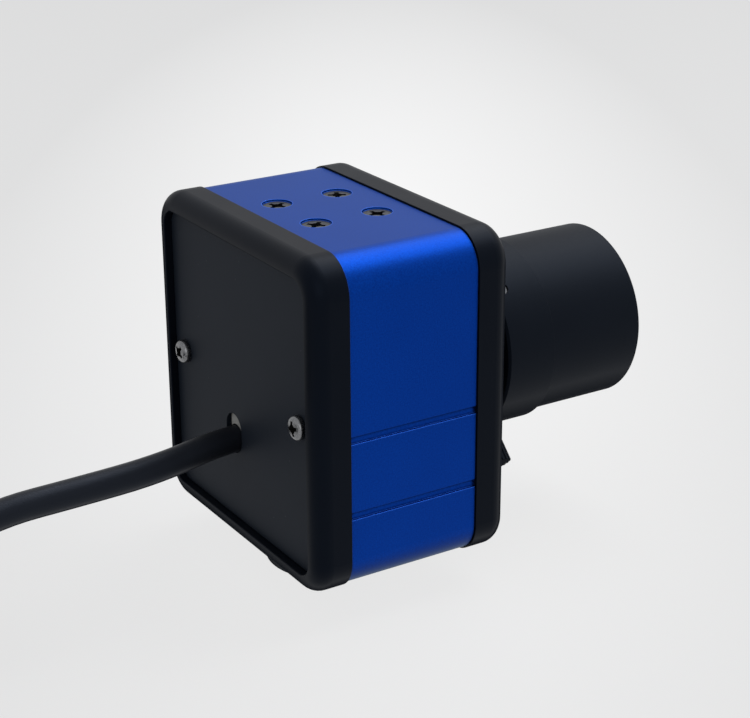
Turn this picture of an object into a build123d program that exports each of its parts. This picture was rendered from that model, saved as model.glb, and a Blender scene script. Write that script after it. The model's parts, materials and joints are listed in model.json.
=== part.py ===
# Box camera for machine vision. A rounded aluminium sleeve is closed by two end frames with
# recessed plates. A manual lens looks forward along -Y, a cable leaves the rear plate along +Y,
# and a round boss underneath carries the tripod thread, whose mouth is the origin.
import os
from math import cos, radians, sin, tan

from build123d import *

# Sleeve, an extruded tube with rounded corners
BODY_W = 52.0
BODY_H = 55.0
BODY_L = 23.5
BODY_R = 5.8
WALL = 2.0
SLEEVE_EDGE = 0.15
GROOVE_W = 1.3
GROOVE_D = 0.4
GROOVE_DROPS = (1.2, 14.0)

# End frames, which stand a little proud of the sleeve and hold the recessed plates
FRAME_PROUD = 0.3
FRAME_DEPTH = 6.3
FRAME_ROUND = 2.9
LIP_W = 3.2
LIP_ROUND = 0.2
OPENING_R = 2.8
SEAT_LEDGE = 2.0
SPIGOT_LENGTH = 2.0
SPIGOT_WALL = 1.2
PLATE_RECESS = 1.3
PLATE_T = 1.4
PLATE_EDGE = 0.15
PORT_NOTCH = 0.5

# Round holes and screws of the plates
PLATE_SCREW_IN = 3.7
PLATE_SCREW_R = 1.0
PLATE_SCREW_LENGTH = 9.0
PAN_HEAD_R = 2.0
PAN_HEAD_H = 1.5
PAN_HEAD_ROUND = 0.5
PAN_CROSS = 2.4
PORT_R = 2.6
PORT_WEB = 3.4

# Slot in the rear plate, which the cable comes out of
CABLE_D = 4.5
CABLE_X = 2.7
CABLE_DROP = 10.0
CABLE_SLOT_RISE = 1.8

# Countersunk screws above and below, with the tapped plates inside
CSK_DX = 12.5
CSK_DY = 11.3
CSK_HEAD_R = 2.35
CSK_SHANK_R = 1.0
CSK_SINK = 0.3
CSK_CROSS = 2.7
NUT_PLATE_T = 2.5
NUT_PLATE_EDGE = 3.0
NUT_PLATE_CORNER = 1.0

# Tripod boss
BOSS_R = 11.5
BOSS_H = 6.5
BOSS_EDGE = 0.6
TRIPOD_HOLE_R = 2.6
TRIPOD_DEPTH = 5.5

# Cross recess of every screw
CROSS_W = 0.55
CROSS_DEPTH = 0.9

# Lens, turned pieces on one axis. The mount takes the room between the front plate's screws, and
# each radius of the lens steps in or out from it
MOUNT_ROOM = 2.6
MOUNT_FLANGE_T = 2.2
MOUNT_FLANGE_STEP = 0.9
MOUNT_SPIGOT_WALL = 1.2
MOUNT_SPIGOT_IN = 1.0
LENS_FLANGE_T = 1.2
LENS_TUBE_IN = 1.7
LENS_TUBE_WALL = 1.4
LENS_LIP_IN = 2.1
LENS_LIP_T = 2.0
LENS_THREAD_LENGTH = 4.4
IRIS_RING_WALL = 2.6
IRIS_RING_L = 4.6
RING_EDGE = 0.3
FOCUS_CUP_OUT = 3.5
FOCUS_RING_WALL = 1.6
FOCUS_RING_L = 9.5
FOCUS_WEB = 3.2
FOCUS_EDGE = 0.4
FOCUS_STROKE = 1.2
SNAP_RING_PROUD = 1.6
SNAP_RING_T = 0.7
SNAP_RING_OPEN = 2.0
SNAP_GROOVE_D = 0.6
HOOD_STEP = 0.8
HOOD_L = 19.0
HOOD_WALL = 1.0
HOOD_THROAT_IN = 1.9
HOOD_THROAT_DEPTH = 7.5
HOOD_EDGE = 0.4
SEAM_EDGE = 0.08
SPIGOT_HOLD = 1.5
BARREL_WALL = 1.35
BARREL_TAIL = 12.4
GLASS_SEAT_IN = 1.5
GLASS_T = 3.5
LOCK_RING_T = 1.8
LOCK_RING_W = 1.1
LOCK_RING_SLOT = 1.2
REAR_GLASS_T = 2.8
SPACER_L = 8.0
SPACER_WALL = 0.95
IRIS_LEAF_T = 0.8
IRIS_HOLE_R = 3.0

# Thumbscrew on the iris ring and the small screw in the focus ring
THUMB_ANGLE = 45.0
THUMB_TIP_OUT = 8.0
THUMB_HEAD_R = 2.4
THUMB_HEAD_L = 5.5
THUMB_NECK_R = 1.5
THUMB_SHANK_R = 1.0
THUMB_FLUTES = 18
THUMB_FLUTE_R = 0.22
GRUB_ANGLE = 137.0
GRUB_R = 1.0
GRUB_L = 3.0
GRUB_SINK = 0.25
GRUB_BACK = 1.9
GRUB_SOCKET_R = 0.55

# Boards
FLANGE_TO_SENSOR = 12.5
BOARD_IN_X = 6.6
BOARD_IN_Z = 4.6
BOARD_T = 1.6
BOARD_CORNER_R = 2.0
BOARD_EDGE = 3.0
BOARD_GAP = 7.5
BOARD_SCREW_R = 1.0
BOARD_SCREW_LENGTH = 14.5
STANDOFF_R = 2.2
STUD_L = 0.8
SENSOR_PACKAGE = 12.0
SENSOR_T = 1.6
SENSOR_WINDOW = 9.0
SENSOR_WINDOW_T = 0.5
HOLDER_SIZE = 18.0
HOLDER_WALL = 1.4
HOLDER_H = 5.0
FILTER_T = 0.7
CHIP = 10.0
CHIP_T = 1.2
MEMORY_W = 5.0
CHIP_GAP = 4.5
HEADER_L = 14.0
HEADER_W = 4.6
HEADER_IN = 6.0
SOCKET_W = 9.0
SOCKET_D = 5.0
SOCKET_H = 2.8
SOCKET_WALL = 0.8
SOCKET_POCKET = 1.0
WIRE_R = 0.55
WIRE_L = 2.6
WIRE_PITCH = 1.4
TIE_W = 2.4
TIE_T = 1.1
TIE_BACK = 0.1
TIE_HEAD_SIDE = 1.7
TIE_HEAD_UP = 1.2
TIE_HEAD_OUT = 0.9

# Cable, its coil and its plug
COIL_TURNS_WIDE = 3
COIL_LAYERS = 4
COIL_MID_D = 46.0
COIL_PITCH = 4.55
COIL_START_X = -15.0
COIL_Y = 117.0
COIL_EDGE = 1.8
COIL_TIE_W = 3.0
COIL_TIE_T = 1.0
TAIL_STEP = 8.5
TAIL_RISE = 0.2
TAIL_SWING = 0.2
PLUG_W = 16.0
PLUG_H = 8.0
PLUG_L = 24.0
PLUG_R = 2.5
SHELL_W = 12.0
SHELL_H = 4.5
SHELL_L = 18.5
SHELL_WALL = 0.4
PLUG_WINDOW = 2.5
PLUG_WINDOW_BACK = 10.2
TONGUE_H = 1.7
TONGUE_SHORT = 1.0

# Clearances between pieces
SEAT_CLEAR = 0.10
HOLE_CLEAR = 0.15
TURN_CLEAR = 0.05
GLASS_CLEAR = 0.05
AXIAL_CLEAR = 0.2
BODY_CLEAR = 0.3
RING_GAP = 0.4
SEAM_GAP = 0.1

# Places worked out from the sizes above
CENTRE_Z = BOSS_H + BODY_H / 2
FRAME_W = BODY_W + 2 * FRAME_PROUD
FRAME_H = BODY_H + 2 * FRAME_PROUD
OPENING_W = FRAME_W - 2 * LIP_W
OPENING_H = FRAME_H - 2 * LIP_W
SLEEVE_END = BODY_L / 2
PLATE_SCREW_X = OPENING_W / 2 - PLATE_SCREW_IN
FRAME_END = SLEEVE_END + FRAME_DEPTH
PLATE_FACE = FRAME_END - PLATE_RECESS
PLATE_BACK = PLATE_FACE - PLATE_T
SLEEVE_IN_W = BODY_W - 2 * WALL
SLEEVE_IN_H = BODY_H - 2 * WALL
BODY_TOP = CENTRE_Z + BODY_H / 2
TAP_R = CSK_SHANK_R + TURN_CLEAR
TOP_NUT_Z = BODY_TOP - WALL - NUT_PLATE_T
TOP_SCREW_LENGTH = WALL + NUT_PLATE_T - CSK_SINK
LOW_SCREW_LENGTH = BOSS_H + WALL + NUT_PLATE_T - CSK_SINK
COIL_OUT_R = COIL_MID_D / 2 + COIL_PITCH * (COIL_TURNS_WIDE - 1) / 2
CABLE_Z = CENTRE_Z - CABLE_DROP
SLOT_R = CABLE_D / 2 + 2 * HOLE_CLEAR
FLOOR_Z = CABLE_D / 2
COIL_TOP = CABLE_D + COIL_PITCH * (COIL_LAYERS - 1)
COIL_ENTRY_Z = COIL_TOP - CABLE_D / 2

# Radii of the lens, from its mount to the fixed tube, then outward and inward
MOUNT_FLANGE_R = PLATE_SCREW_X - PAN_HEAD_R - MOUNT_ROOM
MOUNT_SPIGOT_R = MOUNT_FLANGE_R - MOUNT_FLANGE_STEP
MOUNT_THREAD_R = MOUNT_SPIGOT_R - MOUNT_SPIGOT_WALL
LENS_TUBE_R = MOUNT_THREAD_R - LENS_TUBE_IN
LENS_BORE_R = LENS_TUBE_R - LENS_TUBE_WALL
LENS_LIP_R = LENS_BORE_R - LENS_LIP_IN
IRIS_RING_R = LENS_TUBE_R + IRIS_RING_WALL
SNAP_RING_R = LENS_TUBE_R + SNAP_RING_PROUD
FOCUS_CUP_R = LENS_TUBE_R + FOCUS_CUP_OUT
FOCUS_RING_R = FOCUS_CUP_R + FOCUS_RING_WALL
THUMB_TIP_R = FOCUS_RING_R + THUMB_TIP_OUT
HOOD_R = FOCUS_RING_R - HOOD_STEP
HOOD_MOUTH_R = HOOD_R - HOOD_WALL
HOOD_THROAT_R = HOOD_MOUTH_R - HOOD_THROAT_IN
GLASS_SEAT_R = HOOD_THROAT_R - GLASS_SEAT_IN
BARREL_R = LENS_BORE_R - TURN_CLEAR
BARREL_BORE_R = BARREL_R - BARREL_WALL
RIM_R = GLASS_SEAT_R - GLASS_CLEAR
INNER_R = BARREL_BORE_R - GLASS_CLEAR

# Places along the lens, from the front plate forward
LENS_SEAT = -PLATE_FACE - MOUNT_FLANGE_T
LENS_FLANGE_FRONT = LENS_SEAT - LENS_FLANGE_T
IRIS_REAR = LENS_FLANGE_FRONT - AXIAL_CLEAR
IRIS_FRONT = IRIS_REAR - IRIS_RING_L
FOCUS_REAR = IRIS_FRONT - RING_GAP
FOCUS_FRONT = FOCUS_REAR - FOCUS_RING_L
WEB_FRONT = FOCUS_REAR - FOCUS_WEB
SNAP_REAR = WEB_FRONT - AXIAL_CLEAR
SNAP_FRONT = SNAP_REAR - SNAP_RING_T
HOOD_REAR = FOCUS_FRONT - SEAM_GAP
HOOD_FRONT = HOOD_REAR - HOOD_L
HOOD_BACK = HOOD_REAR + FOCUS_STROKE + SPIGOT_HOLD
TUBE_FRONT = HOOD_BACK + BODY_CLEAR
TAIL_END = HOOD_BACK + BARREL_TAIL
THROAT = HOOD_FRONT + HOOD_THROAT_DEPTH
GLASS_SEAT = THROAT + LOCK_RING_T + GLASS_T
INNER_SEAT = GLASS_SEAT + GLASS_T / 2
MIDDLE_REAR = INNER_SEAT + REAR_GLASS_T
SPACER_REAR = MIDDLE_REAR + SPACER_L
REAR_GLASS_REAR = SPACER_REAR + REAR_GLASS_T
LOCK_REAR = REAR_GLASS_REAR + LOCK_RING_T
FRONT_DOME = (1.2, RIM_R - LOCK_RING_W - GLASS_CLEAR)
INNER_DOME = (0.5, INNER_R - LOCK_RING_W - GLASS_CLEAR)
SENSOR_FACE = LENS_SEAT + FLANGE_TO_SENSOR
SENSOR_BOARD_FRONT = SENSOR_FACE + SENSOR_T
SENSOR_BOARD_BACK = SENSOR_BOARD_FRONT + BOARD_T
MAIN_BOARD_FRONT = SENSOR_BOARD_BACK + BOARD_GAP
MID_GAP = (SENSOR_BOARD_BACK + MAIN_BOARD_FRONT) / 2
MAIN_BOARD_BACK = MAIN_BOARD_FRONT + BOARD_T
SOCKET_BACK = MAIN_BOARD_BACK + SOCKET_H
CABLE_START = SOCKET_BACK + WIRE_L
LENS_AXIS = Axis((0, 0, CENTRE_Z), (0, 1, 0))
BOARD_W = OPENING_W - 2 * BOARD_IN_X
BOARD_H = OPENING_H - 2 * BOARD_IN_Z
BOARD_DX = BOARD_W - 2 * BOARD_EDGE
BOARD_DZ = BOARD_H - 2 * BOARD_EDGE

# The cable's way from inside the housing to the top of the coil, chosen by hand
CABLE_ROUTE = [
    (CABLE_X, CABLE_START, CABLE_Z),
    (CABLE_X, 19.0, CABLE_Z),
    (2.6, 31.0, 21.9),
    (2.7, 45.0, 21.5),
    (2.8, 59.0, 21.2),
    (0.6, 71.5, 18.2),
    (-10.9, 88.5, 16.2),
    (COIL_START_X, 100.0, COIL_ENTRY_Z),
    (COIL_START_X, COIL_Y, COIL_ENTRY_Z),
]
COIL_X = COIL_START_X + COIL_OUT_R
TAIL_X = COIL_X + COIL_OUT_R
PLUG_Z = PLUG_H / 2
PLUG_X = TAIL_X + TAIL_SWING
PLUG_REAR = COIL_Y - 3 * TAIL_STEP
PLUG_FRONT = PLUG_REAR - PLUG_L
TAIL_ROUTE = [
    (TAIL_X, COIL_Y, FLOOR_Z),
    (TAIL_X, COIL_Y - TAIL_STEP, FLOOR_Z + TAIL_RISE),
    (PLUG_X, COIL_Y - 2 * TAIL_STEP, PLUG_Z),
    (PLUG_X, PLUG_REAR, PLUG_Z),
]


def across(y):
    """Plane square to the lens axis at y, with X across and Z up."""
    return Plane(origin=(0, y, CENTRE_Z), x_dir=(1, 0, 0), z_dir=(0, -1, 0))


def prism(sketch, rear, front):
    """Sketch drawn across the lens axis, made solid from its rear face to its front face."""
    return extrude(across(rear) * sketch, amount=rear - front)


def turned(*outline):
    """Ring or disc turned about the lens axis from its half outline of (radius, y) points."""
    face = Plane.XY.offset(CENTRE_Z) * Polygon(*outline, align=None)
    return revolve(face, axis=LENS_AXIS)


def ring(outer, inner, rear, front):
    """Plain turned ring."""
    return turned((inner, rear), (outer, rear), (outer, front), (inner, front))


def grid(dx, dy):
    """Four places on a rectangle."""
    return [(x, y) for x in (-dx / 2, dx / 2) for y in (-dy / 2, dy / 2)]


def both_sides(x):
    return [(-x, 0), (x, 0)]


def cross_recess(size, depth):
    """Cross-shaped recess that goes down from z = 0."""
    arm = Box(size, CROSS_W, depth, align=(Align.CENTER, Align.CENTER, Align.MAX))
    return arm + Rot(0, 0, 90) * arm


def pan_screw(shank_r, length):
    """Pan-head screw, head upward, with the underside of its head at z = 0."""
    head = Cylinder(PAN_HEAD_R, PAN_HEAD_H, align=(Align.CENTER, Align.CENTER, Align.MIN))
    head = fillet(head.faces().sort_by(Axis.Z)[-1].edges(), PAN_HEAD_ROUND)
    shank = Cylinder(shank_r, length, align=(Align.CENTER, Align.CENTER, Align.MAX))
    recess = Pos(0, 0, PAN_HEAD_H) * cross_recess(PAN_CROSS, CROSS_DEPTH)
    return head + shank - recess


def flat_screw(length):
    """Countersunk screw, head upward, with its top at z = 0."""
    cone_h = CSK_HEAD_R - CSK_SHANK_R
    cone = Cone(CSK_SHANK_R, CSK_HEAD_R, cone_h, align=(Align.CENTER, Align.CENTER, Align.MAX))
    shank = Cylinder(CSK_SHANK_R, length, align=(Align.CENTER, Align.CENTER, Align.MAX))
    return cone + shank - cross_recess(CSK_CROSS, CROSS_DEPTH)


def flat_hole(depth):
    """Hole for a sunk countersunk screw, open at z = 0 and going down."""
    down = (Align.CENTER, Align.CENTER, Align.MAX)
    head_r = CSK_HEAD_R + HOLE_CLEAR
    hole_r = CSK_SHANK_R + HOLE_CLEAR
    straight = Cylinder(head_r, CSK_SINK, align=down)
    cone = Pos(0, 0, -CSK_SINK) * Cone(hole_r, head_r, head_r - hole_r, align=down)
    return straight + cone + Cylinder(hole_r, depth, align=down)


def upward(x, y, z, item):
    return Pos(x, y, z) * item


def downward(x, y, z, item):
    return Pos(x, y, z) * Rot(180, 0, 0) * item


def radial(angle, radius, y, item):
    """Place an item that points along +Z outward at an angle from straight down towards -X."""
    out = Vector(-sin(radians(angle)), 0, -cos(radians(angle)))
    foot = Vector(0, y, CENTRE_Z) + out * radius
    return Plane(origin=foot, x_dir=(0, 1, 0), z_dir=out) * item


# Housing

def make_sleeve():
    outside = RectangleRounded(BODY_W, BODY_H, BODY_R)
    inside = RectangleRounded(SLEEVE_IN_W, SLEEVE_IN_H, BODY_R - WALL)
    web = SLEEVE_IN_W / 2 - PLATE_SCREW_X + WALL / 2
    ports = Sketch()
    cuts = Sketch()
    for side in (-1, 1):
        ports += Pos(side * PLATE_SCREW_X, 0) * Circle(PORT_R)
        ports += Pos(side * (PLATE_SCREW_X + web / 2), 0) * Rectangle(web, PORT_WEB)
        cuts += Pos(side * PLATE_SCREW_X, 0) * Circle(PLATE_SCREW_R + TURN_CLEAR)
        for drop in GROOVE_DROPS:
            cuts += Pos(side * BODY_W / 2, -drop) * Rectangle(2 * GROOVE_D, GROOVE_W)
    sleeve = prism(outside, SLEEVE_END, -SLEEVE_END)
    ends = sleeve.faces().sort_by(Axis.Y)
    sleeve = chamfer(ends[0].edges() + ends[-1].edges(), SLEEVE_EDGE)
    sleeve -= prism(inside, SLEEVE_END, -SLEEVE_END)
    sleeve += prism(ports, SLEEVE_END, -SLEEVE_END)
    sleeve -= prism(cuts, SLEEVE_END, -SLEEVE_END)
    for x, y in grid(CSK_DX, CSK_DY):
        sleeve -= upward(x, y, BODY_TOP, flat_hole(2 * WALL))
        plain = Cylinder(CSK_SHANK_R + HOLE_CLEAR, 2 * WALL)
        sleeve -= Pos(x, y, BOSS_H + WALL / 2) * plain
    return sleeve


def make_rear_frame():
    block = prism(RectangleRounded(FRAME_W, FRAME_H, BODY_R + FRAME_PROUD), FRAME_END, SLEEVE_END)
    block = fillet(block.faces().sort_by(Axis.Y)[-1].edges(), FRAME_ROUND)
    opening = RectangleRounded(OPENING_W, OPENING_H, OPENING_R)
    block -= prism(opening, FRAME_END, PLATE_BACK)
    lip_edges = block.faces().sort_by(Axis.Y)[-1].inner_wires()[0].edges()
    block = fillet(lip_edges, LIP_ROUND)
    spigot_w = SLEEVE_IN_W - 2 * SEAT_CLEAR
    spigot_h = SLEEVE_IN_H - 2 * SEAT_CLEAR
    spigot_r = BODY_R - WALL - SEAT_CLEAR
    tongue = RectangleRounded(spigot_w, spigot_h, spigot_r)
    block += prism(tongue, SLEEVE_END, SLEEVE_END - SPIGOT_LENGTH)
    window_w = min(OPENING_W - 2 * SEAT_LEDGE, spigot_w - 2 * SPIGOT_WALL)
    window_h = min(OPENING_H - 2 * SEAT_LEDGE, spigot_h - 2 * SPIGOT_WALL)
    window = prism(RectangleRounded(window_w, window_h, OPENING_R), FRAME_END, 0)
    for x, y in both_sides(PLATE_SCREW_X):
        ear = prism(Pos(x, 0) * Circle(PORT_R), PLATE_BACK, SLEEVE_END)
        hole = prism(Pos(x, 0) * Circle(PLATE_SCREW_R + HOLE_CLEAR), FRAME_END, 0)
        window = window - ear + hole
    notch = Box(SLEEVE_IN_W + WALL, SPIGOT_LENGTH, 2 * (PORT_R + PORT_NOTCH),
                align=(Align.CENTER, Align.MAX, Align.CENTER))
    return block - window - Pos(0, SLEEVE_END, CENTRE_Z) * notch


def plate_blank(front=False):
    """Plate that fills an end frame's opening, with its two screw holes."""
    size = (OPENING_W - 2 * SEAT_CLEAR, OPENING_H - 2 * SEAT_CLEAR)
    plate = prism(RectangleRounded(*size, OPENING_R - SEAT_CLEAR), PLATE_FACE, PLATE_BACK)
    plate = chamfer(plate.faces().sort_by(Axis.Y)[-1].edges(), PLATE_EDGE)
    for x, y in both_sides(PLATE_SCREW_X):
        plate -= prism(Pos(x, 0) * Circle(PLATE_SCREW_R + HOLE_CLEAR), PLATE_FACE, PLATE_BACK)
    return mirror(plate, Plane.XZ) if front else plate


def cable_slot(slot_r):
    """Upright slot round the cable, with room above it."""
    slot = SlotOverall(CABLE_SLOT_RISE + 2 * slot_r, 2 * slot_r)
    return Pos(CABLE_X, CABLE_SLOT_RISE / 2 - CABLE_DROP) * Rot(0, 0, 90) * slot


def make_rear_plate():
    return plate_blank() - prism(cable_slot(SLOT_R), PLATE_FACE, PLATE_BACK)


def make_front_plate():
    bore = ring(MOUNT_SPIGOT_R + SEAT_CLEAR, 0, -PLATE_BACK, -PLATE_FACE)
    plate = plate_blank(front=True) - bore
    for x, z in grid(BOARD_DX, BOARD_DZ):
        blind = Circle(BOARD_SCREW_R + TURN_CLEAR)
        plate -= prism(Pos(x, z) * blind, -PLATE_BACK, -PLATE_BACK - STUD_L - SEAT_CLEAR)
    return plate


def plate_screws(side):
    """The two screws of one plate; side is 1 at the rear and -1 at the front."""
    screw = pan_screw(PLATE_SCREW_R, PLATE_SCREW_LENGTH)
    spots = []
    for x, y in both_sides(PLATE_SCREW_X):
        seat = Plane(origin=(x, side * PLATE_FACE, CENTRE_Z), x_dir=(1, 0, 0), z_dir=(0, side, 0))
        spots.append(seat * screw)
    return spots


def make_nut_plate(z_low):
    """Tapped plate inside the sleeve, against its top or bottom wall."""
    plate = Box(CSK_DX + 2 * NUT_PLATE_EDGE, CSK_DY + 2 * NUT_PLATE_EDGE, NUT_PLATE_T,
                align=(Align.CENTER, Align.CENTER, Align.MIN))
    plate = chamfer(plate.edges().filter_by(Axis.Z), NUT_PLATE_CORNER)
    for x, y in grid(CSK_DX, CSK_DY):
        plate -= Pos(x, y, NUT_PLATE_T / 2) * Cylinder(TAP_R, 2 * NUT_PLATE_T)
    return Pos(0, 0, z_low) * plate


def make_boss():
    boss = Cylinder(BOSS_R, BOSS_H, align=(Align.CENTER, Align.CENTER, Align.MIN))
    boss = chamfer(boss.faces().sort_by(Axis.Z)[0].edges(), BOSS_EDGE)
    boss -= Cylinder(TRIPOD_HOLE_R, TRIPOD_DEPTH, align=(Align.CENTER, Align.CENTER, Align.MIN))
    for x, y in grid(CSK_DX, CSK_DY):
        boss -= downward(x, y, 0, flat_hole(2 * BOSS_H))
    return boss


# Lens

def make_mount_ring():
    thread_r = MOUNT_THREAD_R
    front = LENS_SEAT
    rear = -PLATE_BACK + MOUNT_SPIGOT_IN
    return turned(
        (thread_r, rear), (MOUNT_SPIGOT_R, rear), (MOUNT_SPIGOT_R, -PLATE_FACE),
        (MOUNT_FLANGE_R, -PLATE_FACE), (MOUNT_FLANGE_R, front + RING_EDGE),
        (MOUNT_FLANGE_R - RING_EDGE, front), (thread_r, front))


def make_lens_body():
    thread_r = MOUNT_THREAD_R - TURN_CLEAR
    rear = LENS_SEAT + LENS_THREAD_LENGTH
    return turned(
        (LENS_LIP_R, rear), (thread_r, rear), (thread_r, LENS_SEAT),
        (IRIS_RING_R, LENS_SEAT), (IRIS_RING_R, LENS_FLANGE_FRONT),
        (LENS_TUBE_R, LENS_FLANGE_FRONT), (LENS_TUBE_R, SNAP_REAR),
        (LENS_TUBE_R - SNAP_GROOVE_D, SNAP_REAR), (LENS_TUBE_R - SNAP_GROOVE_D, SNAP_FRONT),
        (LENS_TUBE_R, SNAP_FRONT), (LENS_TUBE_R, TUBE_FRONT), (LENS_BORE_R, TUBE_FRONT),
        (LENS_BORE_R, rear - LENS_LIP_T), (LENS_LIP_R, rear - LENS_LIP_T))


def make_snap_ring():
    """Open spring ring in the groove of the lens body, which keeps the focus ring on."""
    ring_solid = ring(SNAP_RING_R, LENS_TUBE_R - SNAP_GROOVE_D, SNAP_REAR, SNAP_FRONT)
    gap = Box(SNAP_RING_OPEN, 4 * SNAP_RING_T, 2 * SNAP_RING_R, align=(Align.CENTER, Align.CENTER, Align.MIN))
    return ring_solid - Pos(0, SNAP_FRONT, CENTRE_Z) * gap


def make_diaphragm():
    """Stack of iris leaves, shown closed to one round opening."""
    seat = LENS_SEAT + LENS_THREAD_LENGTH - LENS_LIP_T
    return ring(LENS_BORE_R - GLASS_CLEAR, IRIS_HOLE_R, seat, seat - IRIS_LEAF_T)


def make_iris_ring():
    inner = LENS_TUBE_R + TURN_CLEAR
    iris = turned(
        (inner, IRIS_REAR), (IRIS_RING_R - RING_EDGE, IRIS_REAR), (IRIS_RING_R, IRIS_REAR - RING_EDGE),
        (IRIS_RING_R, IRIS_FRONT + RING_EDGE), (IRIS_RING_R - RING_EDGE, IRIS_FRONT),
        (inner, IRIS_FRONT))
    hole = Cylinder(THUMB_SHANK_R + TURN_CLEAR, IRIS_RING_R)
    return iris - radial(THUMB_ANGLE, IRIS_RING_R, (IRIS_REAR + IRIS_FRONT) / 2, hole)


def make_thumbscrew():
    """Lock screw of the iris ring, with a fluted head on a thin neck."""
    up = (Align.CENTER, Align.CENTER, Align.MIN)
    shank_from = LENS_TUBE_R + BODY_CLEAR
    neck_from = IRIS_RING_R + BODY_CLEAR
    head_from = THUMB_TIP_R - THUMB_HEAD_L
    shank = Pos(0, 0, shank_from) * Cylinder(THUMB_SHANK_R, head_from - shank_from, align=up)
    neck = Pos(0, 0, neck_from) * Cylinder(THUMB_NECK_R, head_from - neck_from, align=up)
    head = Cylinder(THUMB_HEAD_R, THUMB_HEAD_L, align=up)
    for k in range(THUMB_FLUTES):
        flute = Cylinder(THUMB_FLUTE_R, THUMB_HEAD_L, align=up)
        head -= Rot(0, 0, 360 * k / THUMB_FLUTES) * Pos(THUMB_HEAD_R, 0, 0) * flute
    screw = shank + neck + Pos(0, 0, head_from) * head
    return radial(THUMB_ANGLE, 0, (IRIS_REAR + IRIS_FRONT) / 2, screw)


def make_focus_ring():
    inner = LENS_TUBE_R + TURN_CLEAR
    ring_solid = turned(
        (inner, FOCUS_REAR), (FOCUS_RING_R - FOCUS_EDGE, FOCUS_REAR),
        (FOCUS_RING_R, FOCUS_REAR - FOCUS_EDGE), (FOCUS_RING_R, FOCUS_FRONT + SEAM_EDGE),
        (FOCUS_RING_R - SEAM_EDGE, FOCUS_FRONT), (FOCUS_CUP_R, FOCUS_FRONT),
        (FOCUS_CUP_R, WEB_FRONT), (inner, WEB_FRONT))
    hole = Cylinder(GRUB_R + TURN_CLEAR, GRUB_L + GRUB_SINK + BODY_CLEAR,
                    align=(Align.CENTER, Align.CENTER, Align.MAX))
    return ring_solid - radial(GRUB_ANGLE, FOCUS_RING_R, FOCUS_REAR - GRUB_BACK, hole)


def make_grub_screw():
    """Small headless screw in the focus ring, with a hexagon socket."""
    down = (Align.CENTER, Align.CENTER, Align.MAX)
    screw = Cylinder(GRUB_R, GRUB_L, align=down)
    screw -= extrude(RegularPolygon(GRUB_SOCKET_R, 6), amount=-GRUB_L / 2)
    return radial(GRUB_ANGLE, FOCUS_RING_R - GRUB_SINK, FOCUS_REAR - GRUB_BACK, screw)


def make_front_barrel():
    """Sliding barrel whose front is the plain hood, with light baffles inside the mouth."""
    spigot_r = FOCUS_CUP_R - BODY_CLEAR
    step = (HOOD_MOUTH_R - HOOD_THROAT_R) / 3
    run = HOOD_THROAT_DEPTH / 3
    baffles = []
    for k in range(3):
        radius = HOOD_MOUTH_R - k * step
        start = HOOD_FRONT + k * run
        baffles += [(radius, start), (radius, start + run)]
    return turned(
        (BARREL_BORE_R, TAIL_END), (BARREL_R, TAIL_END), (BARREL_R, HOOD_BACK),
        (spigot_r, HOOD_BACK), (spigot_r, HOOD_REAR), (HOOD_R - SEAM_EDGE, HOOD_REAR),
        (HOOD_R, HOOD_REAR - SEAM_EDGE), (HOOD_R, HOOD_FRONT + HOOD_EDGE),
        (HOOD_R - HOOD_EDGE, HOOD_FRONT), *baffles, (GLASS_SEAT_R, THROAT),
        (GLASS_SEAT_R, GLASS_SEAT), (BARREL_BORE_R - SPACER_WALL, GLASS_SEAT),
        (BARREL_BORE_R - SPACER_WALL, INNER_SEAT), (BARREL_BORE_R, INNER_SEAT))


def glass(radius, rear, front, rear_face, front_face):
    """Lens element: a disc with a domed middle on each face, given as (rise, dome radius)."""
    element = ring(radius, 0, rear, front)
    for face, out, (rise, dome_r) in ((rear, 1, rear_face), (front, -1, front_face)):
        ball_r = (dome_r ** 2 + rise ** 2) / (2 * rise)
        apex = face + out * rise
        ball = Pos(0, apex - out * ball_r, CENTRE_Z) * Sphere(ball_r)
        element += ball & ring(dome_r, 0, max(face, apex), min(face, apex))
    return element


def make_lock_ring(outer, rear, front, slotted_face):
    """Threaded ring that holds glass in its seat, with two slots for the spanner."""
    slot = Box(3 * outer, rear - front, LOCK_RING_SLOT)
    return ring(outer, outer - LOCK_RING_W, rear, front) - Pos(0, slotted_face, CENTRE_Z) * slot


# Boards

def board(front):
    outline = RectangleRounded(BOARD_W, BOARD_H, BOARD_CORNER_R)
    for x, z in grid(BOARD_DX, BOARD_DZ):
        outline -= Pos(x, z) * Circle(BOARD_SCREW_R + HOLE_CLEAR)
    return prism(outline, front + BOARD_T, front)


def posts(rear, front):
    """Four tubular posts at the board's holes."""
    bore = Circle(STANDOFF_R) - Circle(BOARD_SCREW_R + TURN_CLEAR)
    return [prism(Pos(x, z) * bore, rear, front) for x, z in grid(BOARD_DX, BOARD_DZ)]


def make_standoffs():
    """The four posts between the front plate and the sensor board, with studs in the plate."""
    placed = []
    for (x, z), post in zip(grid(BOARD_DX, BOARD_DZ), posts(SENSOR_BOARD_FRONT, -PLATE_BACK)):
        floor = prism(Pos(x, z) * Circle(STANDOFF_R), -PLATE_BACK + STUD_L, -PLATE_BACK)
        stud = prism(Pos(x, z) * Circle(BOARD_SCREW_R), -PLATE_BACK, -PLATE_BACK - STUD_L)
        placed.append(post + floor + stud)
    return placed


def board_screws():
    """Four long screws that clamp both boards to the posts, heads at the rear."""
    screw = pan_screw(BOARD_SCREW_R, BOARD_SCREW_LENGTH)
    placed = []
    for x, z in grid(BOARD_DX, BOARD_DZ):
        seat = Plane(origin=(x, MAIN_BOARD_BACK, CENTRE_Z + z), x_dir=(1, 0, 0), z_dir=(0, 1, 0))
        placed.append(seat * screw)
    return placed


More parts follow.
